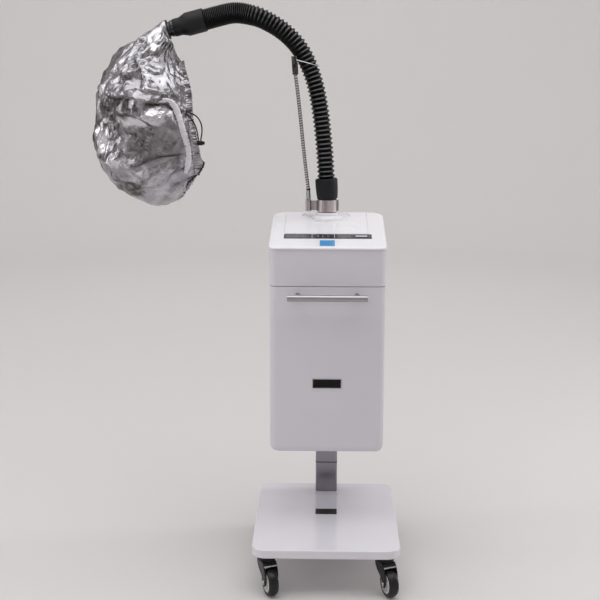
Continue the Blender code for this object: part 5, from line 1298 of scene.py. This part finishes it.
def crumple(points, angles):
    """How far each point of the skin stands off, from the film's folds and gathers."""
    rng = np.random.default_rng(CRUMPLE_SEED)
    bent = points.copy()
    for _ in range(SWAYS):
        way, drift = random_way(rng), rng.normal(size=3)
        phase = points @ way * 2 * np.pi / rng.uniform(*SWAY_LENGTHS)
        bent += SWAY_WIDTH * np.sin(phase + rng.uniform(0, 6.3))[..., None] * drift
    large = folded(bent, LARGE_FOLDS, LARGE_RISE, rng)
    small = folded(bent, SMALL_FOLDS, SMALL_RISE, rng)
    # Small creases crowd below the neck, and leave two panels of the film nearly smooth
    x, y, z = points[..., 0], points[..., 1], points[..., 2]
    busy = 0.75 + 0.55 * (np.sin(bent @ np.array((31.0, 12.0, 24.0)) + 1.1)
                          * np.sin(bent @ np.array((-14.0, 26.0, 19.0))))
    busy += 1.3 * spot(x, z, (-0.060, -0.095), (0.050, 0.048))
    busy *= 1 - 0.75 * spot(x, z, (0.002, -0.050), (0.036, 0.032))
    busy *= 1 - 0.65 * spot(x, z, (-0.020, -0.250), (0.050, 0.042))
    rise = large + small * np.clip(busy, 0.15, 2.2)
    # Pleats run out from the neck, and gathers from the opening
    neck = np.linalg.norm(points - np.array(END_WAY) * MOUTH_PLACES[1], axis=-1)
    turns = np.broadcast_to(angles / (2 * np.pi), points.shape[:2])
    pleats = zigzag(turns * 7 + 0.25 * np.sin(bent[..., 2] * 30)) + 0.3 * zigzag(turns * 19 + 0.3)
    rise += PLEAT_RISE * pleats * fade(neck, 0.020, 0.050) * (1 - fade(neck, 0.060, 0.130))
    past = (points - opening_point) @ opening_way
    gathers = zigzag(turns * 30 + 0.5 * np.sin(z * 90) + x * 4) + 0.6 * zigzag(turns * 47 + z * 12)
    rise += GATHER_RISE * gathers * np.exp(-((past + 0.004) / 0.036) ** 2)
    # Each lap falls steeply on one side; on the far side of the hood it is turned over
    near, far = fade(-y, 0.0, 0.03), fade(y, 0.0, 0.03)
    for start, end, height, reach in LAPS:
        along, above = beside_fold(x, z, start, end)
        ends = fade(along, -0.15, 0.25) * (1 - fade(along, 0.75, 1.15))
        slope = np.exp(-((above / reach) ** 2))
        ridge = np.where(above > 0, slope, np.clip(1 + above / LAP_EDGE, 0, 1))
        turned = np.where(above < 0, slope, np.clip(1 - above / LAP_EDGE, 0, 1))
        rise += height * ridge * ends * near
        rise += 0.8 * height * turned * ends * far
    return (rise + FILM_STAND) * fade(neck, 0.018, 0.040)


# Painted reflections on the near side, patches of bright or dark: middle, half size, strength
PAINTED_REFLECTION_PATCHES = (
    ((-0.100, -0.168), (0.034, 0.024), -1.0), ((-0.078, -0.352), (0.036, 0.016), -1.1),
    ((-0.138, -0.240), (0.018, 0.024), 1.2), ((-0.050, -0.197), (0.048, 0.011), 1.0),
    ((0.006, -0.048), (0.022, 0.024), -0.8), ((-0.022, -0.248), (0.050, 0.034), -0.45),
    ((-0.012, -0.088), (0.018, 0.028), 0.1), ((-0.090, -0.078), (0.022, 0.020), 0.5),
    ((0.012, -0.150), (0.020, 0.014), -0.6), ((-0.022, -0.022), (0.012, 0.022), 0.8),
    ((-0.110, -0.215), (0.022, 0.020), -0.8), ((-0.098, -0.290), (0.030, 0.010), 0.9),
    ((-0.010, -0.178), (0.022, 0.012), 0.6), ((-0.020, -0.330), (0.050, 0.030), 0.35))
PATCH_WAVES = (0.060, 0.044, 0.033, 0.024, 0.017)
PATCH_WAVE = 0.044
TONE_SEED = 23


def painted_reflections(points):
    """The film's painted reflections, 0 to 1: broken patches of bright and dark, and painted shade
    under the folds.
    """
    rng = np.random.default_rng(TONE_SEED)
    ragged = np.zeros(points.shape[:2])
    cloud = np.zeros(points.shape[:2])
    for wave in PATCH_WAVES:
        way, other = random_way(rng), random_way(rng)
        bend = 0.2 * np.sin(points @ other * 2 * np.pi / (1.7 * wave))
        weight = wave / PATCH_WAVE
        ragged += weight * zigzag(points @ way / wave + bend + rng.uniform())
        cloud += weight * zigzag(points @ other / (1.4 * wave) + bend + rng.uniform())
    x, y, z = points[..., 0], points[..., 1], points[..., 2]
    tone = np.full(points.shape[:2], 0.5)
    near = fade(-y, -0.005, 0.020)
    for (x0, z0), (wide, high), strength in PAINTED_REFLECTION_PATCHES:
        away = np.sqrt(((x - x0) / wide) ** 2 + ((z - z0) / high) ** 2)
        tone += 0.42 * strength * fade(1.15 - away + 0.13 * ragged, -0.06, 0.10) * near
    tone += 0.22 * (fade(cloud, 1.0, 1.35) - fade(-cloud, 1.0, 1.35)) * (1 - 0.6 * near)
    # Painted shade: the tone is darkened in a thin line along the underside of each fold
    for start, end, height, _ in LAPS:
        along, above = beside_fold(x, z, start, end)
        under = fade(above, -0.0075, -0.0025) * (1 - fade(above, 0.0005, 0.0030))
        ends = fade(along, -0.05, 0.15) * (1 - fade(along, 0.85, 1.05))
        tone -= 60 * height * under * ends * near
    return np.clip(tone + 0.03 * ragged, 0, 1)


skin_angles = np.linspace(0, 2 * np.pi, HOOD_AROUND, endpoint=False)
skin = hood_skin(skin_angles)
slope_along = np.gradient(skin, axis=0)
slope_around = (np.roll(skin, -1, axis=1) - np.roll(skin, 1, axis=1)) / 2
outward = np.cross(slope_along, slope_around)
outward /= np.maximum(np.linalg.norm(outward, axis=-1), 1e-12)[..., None]
outward[-1] = (0, 0, -1)
foil_points = skin + outward * crumple(skin, skin_angles)[..., None] + np.array(HOOD_NECK)
foil = draw("foil_bag", foil_points.reshape(-1, 3).tolist(),
            faces=grid_faces(HOOD_ALONG, HOOD_AROUND))
pick(foil, "FACE", lambda face: True)
bpy.ops.mesh.remove_doubles(threshold=1e-5)
bpy.ops.object.mode_set(mode="OBJECT")
opening_middle = Vector(opening_point) + HOOD_NECK
corner_middle = Vector(corner_point) + HOOD_NECK
cut_away(foil, opening_middle, opening_way, fill=False)
cut_away(foil, corner_middle, corner_way, fill=False)
pick(foil, "FACE", lambda face: True)
bpy.ops.mesh.normals_make_consistent(inside=False)
bpy.ops.object.mode_set(mode="OBJECT")

rim_points = np.array([vertex.co for vertex in foil.data.vertices
                       if abs((vertex.co - opening_middle).dot(Vector(opening_way))) < TOUCH
                       or abs((vertex.co - corner_middle).dot(Vector(corner_way))) < TOUCH])
rim_centre = rim_points.mean(axis=0)
rim_up = np.cross(opening_way, (0, 1, 0))
rim_turn = np.arctan2((rim_points - rim_centre) @ rim_up, rim_points[:, 1] - rim_centre[1])
rim_points = rim_points[np.argsort(rim_turn)]
# Collapsing the fine grid leaves flat, uneven triangles that meet in sharp creases, as in foil
FACETS_KEPT = 0.21
CREASE_ANGLE = 7
apply_modifier(foil, "DECIMATE", decimate_type="COLLAPSE", ratio=FACETS_KEPT)
smooth(CREASE_ANGLE)
foil_places = np.array([vertex.co for vertex in foil.data.vertices]) - np.array(HOOD_NECK)
mark_points(foil, "tone", painted_reflections(foil_places[:, None]))
outer_faces = len(foil.data.polygons)
apply_modifier(foil, "SOLIDIFY", thickness=FILM_THICK, offset=-1)

# Metallised film mirrors the studio; its colour also carries painted reflections in broken
# patches, from near white to dark, and painted shade under the folds, with fine creases
film_silver = start_material("metallised_polyester_film", "a5a3a7", Metallic=1.0, Roughness=0.27)
film_cloud = layer(film_silver, 0.035, Detail=5, Roughness=0.6)
film_place = (film_silver.node_tree.nodes["Texture Coordinate"], "Object")
# The tone attribute holds the painted reflections and shade, which the ramp below turns into
# colour
film_painted_reflection = (add(film_silver, "Attribute", attribute_name="tone"), "Fac")
film_mixed = add(film_silver, "Math", {0: film_cloud, 1: 0.5, 2: film_painted_reflection},
                 operation="MULTIPLY_ADD")
film_reflection_colour = add(film_silver, "ValToRGB", {"Fac": (film_mixed, 0)})
film_dark, film_bright = film_reflection_colour.color_ramp.elements
film_dark.position, film_dark.color = 0.22, srgb("454140")
film_bright.position, film_bright.color = 1.0, srgb("d2d0d4")
film_reflection_colour.color_ramp.elements.new(0.75).color = srgb("9a989c")
# The lowest panel of the bag is dulled by steam: paler, lilac and less bright
DULL_START = HOOD_NECK.z - 0.270
DULL_END = HOOD_NECK.z - 0.240
film_height = add(film_silver, "SeparateXYZ", {0: film_place})
film_edge = add(film_silver, "Math", {0: film_cloud, 1: 0.11, 2: (film_height, 2)},
                operation="MULTIPLY_ADD")
film_dull = (add(film_silver, "MapRange", {"Value": (film_edge, 0), 1: DULL_END, 2: DULL_START,
                                           3: 0.0, 4: 0.42}), 0)
# The veil shows most where the painted reflections are bright
film_reflection_weight = add(film_silver, "MapRange", {"Value": film_painted_reflection, 1: 0.05, 2: 0.45, 3: 0.1, 4: 1.0})
film_veil = add(film_silver, "Math", {0: film_dull, 1: (film_reflection_weight, 0)}, operation="MULTIPLY")
add(film_silver, "Mix", {0: (film_veil, 0), 6: (film_reflection_colour, 0), 7: srgb("c6c0c8")},
    {"Base Color": 2}, data_type="RGBA")
film_polish = add(film_silver, "MapRange", {"Value": film_cloud, 3: 0.15, 4: 0.27})
add(film_silver, "Math", {0: film_dull, 1: 0.16, 2: (film_polish, 0)}, {"Roughness": 0},
    operation="MULTIPLY_ADD")
add(film_silver, "MapRange", {"Value": film_dull, 3: 1.0, 4: 0.8}, {"Metallic": 0})
FINE_CREASE = 0.009
film_crease = add(film_silver, "TexVoronoi", {"Vector": film_place, "Scale": 1 / FINE_CREASE,
                                              "Detail": 2.0, "Roughness": 0.6},
                  feature="DISTANCE_TO_EDGE")
film_wrinkle = layer(film_silver, FINE_CREASE, Detail=3, Distortion=1.2)
film_relief = add(film_silver, "Math", {0: (film_crease, 0), 1: film_wrinkle}, operation="ADD")
vary(film_silver, (film_relief, 0), relief=(0.75, 0.0013))
fit(foil, film_silver, "hood", "silver_foil", "hood_shell")

# The lining is plain white film, so the inside looks milky with soft wrinkles
lining = start_material("white_polyethylene_lining", "cfcdd1", Metallic=0.15, Roughness=0.42)
layer(lining, 0.030, colours=("bab8bd", "dfdde1"), Detail=5)
layer(lining, FINE_CREASE, relief=(0.5, 0.0012), Detail=3, Distortion=1.2)
foil.data.materials.append(lining)
for face in foil.data.polygons[outer_faces:2 * outer_faces]:
    face.material_index = 1

# Hem: the film turned over into a tunnel for the drawstring, whitish where the film is folded
# double, with a gathered frill beyond the stitching and black tape on its lower edge.
RIM_COUNT = 960
RIM_EASING = 10
FRILL_SEED = 5
rim_loop = np.vstack([rim_points, rim_points[:1]])
rim_along = along_line(rim_loop)
rim = points_at(np.linspace(0, rim_along[-1], RIM_COUNT, endpoint=False), rim_along, rim_loop)
for _ in range(RIM_EASING):
    rim = (np.roll(rim, 1, axis=0) + rim + np.roll(rim, -1, axis=0)) / 3
rim_tangent = np.roll(rim, -1, axis=0) - np.roll(rim, 1, axis=0)
rim_tangent /= np.linalg.norm(rim_tangent, axis=1)[:, None]
rim_out = np.cross(rim_tangent, opening_way)
rim_out /= np.linalg.norm(rim_out, axis=1)[:, None]
rim_share = np.arange(RIM_COUNT) / RIM_COUNT
rim_rng = np.random.default_rng(FRILL_SEED)


def ripple(counts):
    """Waves round the rim, of several counts at once, each with its own start."""
    total = np.zeros(RIM_COUNT)
    for count in counts:
        total += zigzag(rim_share * count + rim_rng.uniform()) / len(counts)
    return total


# How far the frill stands past the opening, by height below the neck, on the near side
FRILL_HEIGHTS = (-0.354, -0.325, -0.300, -0.291, -0.280, -0.235, -0.190, -0.140, -0.112, -0.060)
FRILL_REACH = (-0.0060, 0.0015, 0.0180, 0.0215, 0.0165, 0.0134, 0.0102, 0.0137, 0.0103, 0.0020)
FRILL_FAR = 0.0045
FRILL_FOOT = 0.0040
FRILL_ROWS = 11
FRILL_THICK = 0.0005
FRILL_RAGGED = 0.0014
FRILL_CLEAR = 0.0004
FRILL_WAVES = 0.0034
FRILL_CRIMPS = 0.0030
FRILL_FLARE = 0.0010
frill_near = 1 - fade(rim[:, 1] - HOOD_NECK.y, -0.050, 0.030)
frill_reach = np.interp(rim[:, 2] - HOOD_NECK.z, FRILL_HEIGHTS, FRILL_REACH)
frill_reach = FRILL_FAR + (frill_reach - FRILL_FAR) * frill_near
frill_wave = ripple((83, 61, 107))
frill_fine = ripple((151, 179, 211))
frill_swing = FRILL_WAVES * frill_wave + FRILL_CRIMPS * frill_fine + FRILL_FLARE
frill_rows = []
for share in np.linspace(0, 1, FRILL_ROWS):
    past = -FRILL_FOOT + (frill_reach + FRILL_FOOT + FRILL_RAGGED * frill_fine) * share
    stand = FRILL_CLEAR + share**0.7 * frill_swing
    frill_rows.append(rim + np.outer(past, opening_way) + rim_out * stand[:, None])
frill = draw("gathered_frill", np.concatenate(frill_rows).tolist(),
             faces=grid_faces(FRILL_ROWS, RIM_COUNT))
smooth()
apply_modifier(frill, "SOLIDIFY", thickness=FRILL_THICK, offset=0)
# The frill takes an even middle tone, without painted reflections
mark_points(frill, "tone", np.full(len(frill.data.vertices), 0.5))

# The tunnel lies on the film down the near side, through these places (x, z) from the neck
TUNNEL_ROUTE = (
    (0.0025, -0.1500), (0.0123, -0.1490), (0.0222, -0.1552), (0.0296, -0.1663), (0.0369, -0.1885),
    (0.0431, -0.2106), (0.0492, -0.2328), (0.0535, -0.2577), (0.0550, -0.2771), (0.0525, -0.2965),
    (0.0468, -0.3131))
TUNNEL_LIFT = Vector((0.0007, -0.0019, 0))
TUNNEL_POINTS = 220
TUNNEL_EASING = 260
TUNNEL_SIDES = 16
TUNNEL_RADIUS = 0.0054
TUNNEL_PUCKER = 0.0007
TUNNEL_WRINKLE = 0.0005
TUNNEL_THIN = 0.48
TUNNEL_WIDE = 1.25
tunnel_marks = []
for x, z in TUNNEL_ROUTE:
    start = Vector((HOOD_NECK.x + x, -1, HOOD_NECK.z + z))
    landing = foil.ray_cast(start, Vector((0, 1, 0)))[1]
    tunnel_marks.append(landing + TUNNEL_LIFT)
tunnel_line = smooth_line(tunnel_marks, TUNNEL_POINTS)
for _ in range(TUNNEL_EASING):
    tunnel_line[1:-1] = (tunnel_line[:-2] + 2 * tunnel_line[1:-1] + tunnel_line[2:]) / 4
tunnel_share = np.linspace(0, 1, TUNNEL_POINTS)
tunnel_bunch = zigzag(tunnel_share * 17 + 0.3 * np.sin(tunnel_share * 40))
tunnel_size = TUNNEL_RADIUS + TUNNEL_PUCKER * tunnel_bunch
tunnel_size += TUNNEL_WRINKLE * zigzag(tunnel_share * 43 + 0.4)
tunnel_size *= 0.45 + 0.55 * fade(tunnel_share, 0, 0.14) * (1 - 0.8 * fade(tunnel_share, 0.88, 1))
tunnel_angle = np.linspace(0, 2 * np.pi, TUNNEL_SIDES, endpoint=False)
tunnel_oval = 1 / np.sqrt((np.cos(tunnel_angle) / TUNNEL_THIN) ** 2
                          + (np.sin(tunnel_angle) / TUNNEL_WIDE) ** 2)
tunnel = tube("drawstring_tunnel", tunnel_line, np.outer(tunnel_size, tunnel_oval), TUNNEL_SIDES)

# Doubled film shows its white side, with short puckers and only a dim shine
hem_white = start_material("doubled_white_film", "dedce0", Metallic=0.35, Roughness=0.36)
layer(hem_white, 0.006, colours=("c4c2c7", "f0eef2"), relief=(0.4, 0.001), Detail=4,
      Distortion=0.8)
fit(tunnel, hem_white, "hood", "silver_foil")
fit(frill, film_silver, "hood", "silver_foil", "hood_hem")

TAPE_RADIUS = 0.0021
TAPE_LIFT = 0.0004
TAPE_MIDDLE = HOOD_NECK.z - 0.318
TAPE_HALF = 0.030
frill_edge = frill_rows[-1]
low_end = np.abs(frill_edge[:, 2] - TAPE_MIDDLE) < TAPE_HALF
near_side = rim[:, 1] < HOOD_NECK.y - 0.004
tape_index = np.where(low_end & near_side)[0]
tape = tube("black_edge_tape", frill_edge[tape_index] + opening_way * TAPE_LIFT,
            np.full(len(tape_index), TAPE_RADIUS), 10)


def woven(material, pitch, bend, colours, relief):
    """Lays slanting threads of a real pitch over a material."""
    place = add(material, "TexCoord")
    threads = add(material, "TexWave", {"Vector": (place, "Object"), "Scale": 1 / pitch,
                                        "Distortion": bend}, bands_direction="DIAGONAL")
    vary(material, (threads, "Fac"), colours, relief=relief)


# Woven tape is matt, with a fine slanting rib and a little sheen from its fibres
webbing = start_material("woven_black_tape", "131316", Roughness=0.8, Sheen_Weight=0.2,
                         Sheen_Roughness=0.5)
woven(webbing, 0.0030, 0.6, ("0e0e10", "232327"), (0.5, 0.0004))
fit(tape, webbing, "hood", "black_cord")

# Drawstring: the two ends of a black braided cord that leave the tunnel on the near side and run
# into a sprung cord lock, which is free to swing below them.
CORD_RADIUS = 0.0015
CORD_LEAVES = HOOD_NECK + Vector((0.046616, -0.090667, -0.175527))
OUTER_STRAND = ((0, 0, 0), (0.004, -0.004, -0.0005), (0.016, -0.007, -0.004),
                (0.030, -0.009, -0.013), (0.0385, -0.010, -0.028), (0.0400, -0.010, -0.045),
                (0.0370, -0.010, -0.0637))
INNER_STRAND = ((0.0009, -0.0012, -0.006), (0.0060, -0.0060, -0.0065), (0.0165, -0.0095, -0.016),
                (0.0268, -0.0105, -0.035), (0.0325, -0.010, -0.0637))
# Braid is a dull black whose turns catch the light as small slanting beads
braid = start_material("braided_black_cord", "0b0b0d", Roughness=0.75, Sheen_Weight=0.1,
                       Sheen_Roughness=0.4)
woven(braid, 0.0016, 1.0, ("070708", "17171a"), (0.6, 0.0003))

LOCK_RADIUS = 0.0055
LOCK_HALF = 0.006
LOCK_CLEAR = 0.0003
LOCK_PROFILE = (
    (0.0041, LOCK_HALF), (0.0049, LOCK_HALF), (LOCK_RADIUS, LOCK_HALF - 0.0008),
    (LOCK_RADIUS, 0.0012), (0.0050, 0.0007), (0.0050, -0.0007), (LOCK_RADIUS, -0.0012),
    (LOCK_RADIUS, -LOCK_HALF + 0.0018), (0.0048, -LOCK_HALF + 0.0005), (0.0034, -LOCK_HALF),
    (0, -LOCK_HALF), (0, -0.0024), (0.0041, -0.0024))
PLUNGER_PROFILE = ((0, -0.005), (0.0038, -0.005), (0.0038, 0.0040), (0.0034, 0.0047),
                   (0.0026, 0.0050), (0, 0.0050))
lock_middle = (CORD_LEAVES + (Vector(OUTER_STRAND[-1]) + Vector(INNER_STRAND[-1])) / 2
               - Vector((0, 0, LOCK_RADIUS + LOCK_CLEAR)))
lock_body = turn("lock_barrel", LOCK_PROFILE, lock_middle, (1, 0, 0), steps=40, closed=True)
ease(lock_body, 0.0002, 1)
fit(lock_body, black_abs, "hood", "black_plastic", "cord_lock_body")
lock_plunger = turn("lock_plunger", PLUNGER_PROFILE, lock_middle + Vector((LOCK_HALF, 0, 0)),
                    (1, 0, 0), steps=36)
ease(lock_plunger, 0.0003)
fit(lock_plunger, black_abs, "cord_lock_button", "black_plastic", "cord_lock_plunger")

for name, strand, node in (("drawstring_near", OUTER_STRAND, "drawstring_outer"),
                           ("drawstring_far", INNER_STRAND, "drawstring_inner")):
    route = smooth_line([CORD_LEAVES + Vector(point) for point in strand], 48)
    curve = bpy.data.curves.new(name, "CURVE")
    curve.dimensions = "3D"
    curve.bevel_depth = CORD_RADIUS
    curve.bevel_resolution = 3
    curve.use_fill_caps = True
    spline = curve.splines.new("POLY")
    spline.points.add(len(route) - 1)
    for point, place in zip(spline.points, route):
        point.co = (*place, 1)
    strand_piece = bpy.data.objects.new(name, curve)
    scene.collection.objects.link(strand_piece)
    fit(strand_piece, braid, "hood", "black_cord", node)
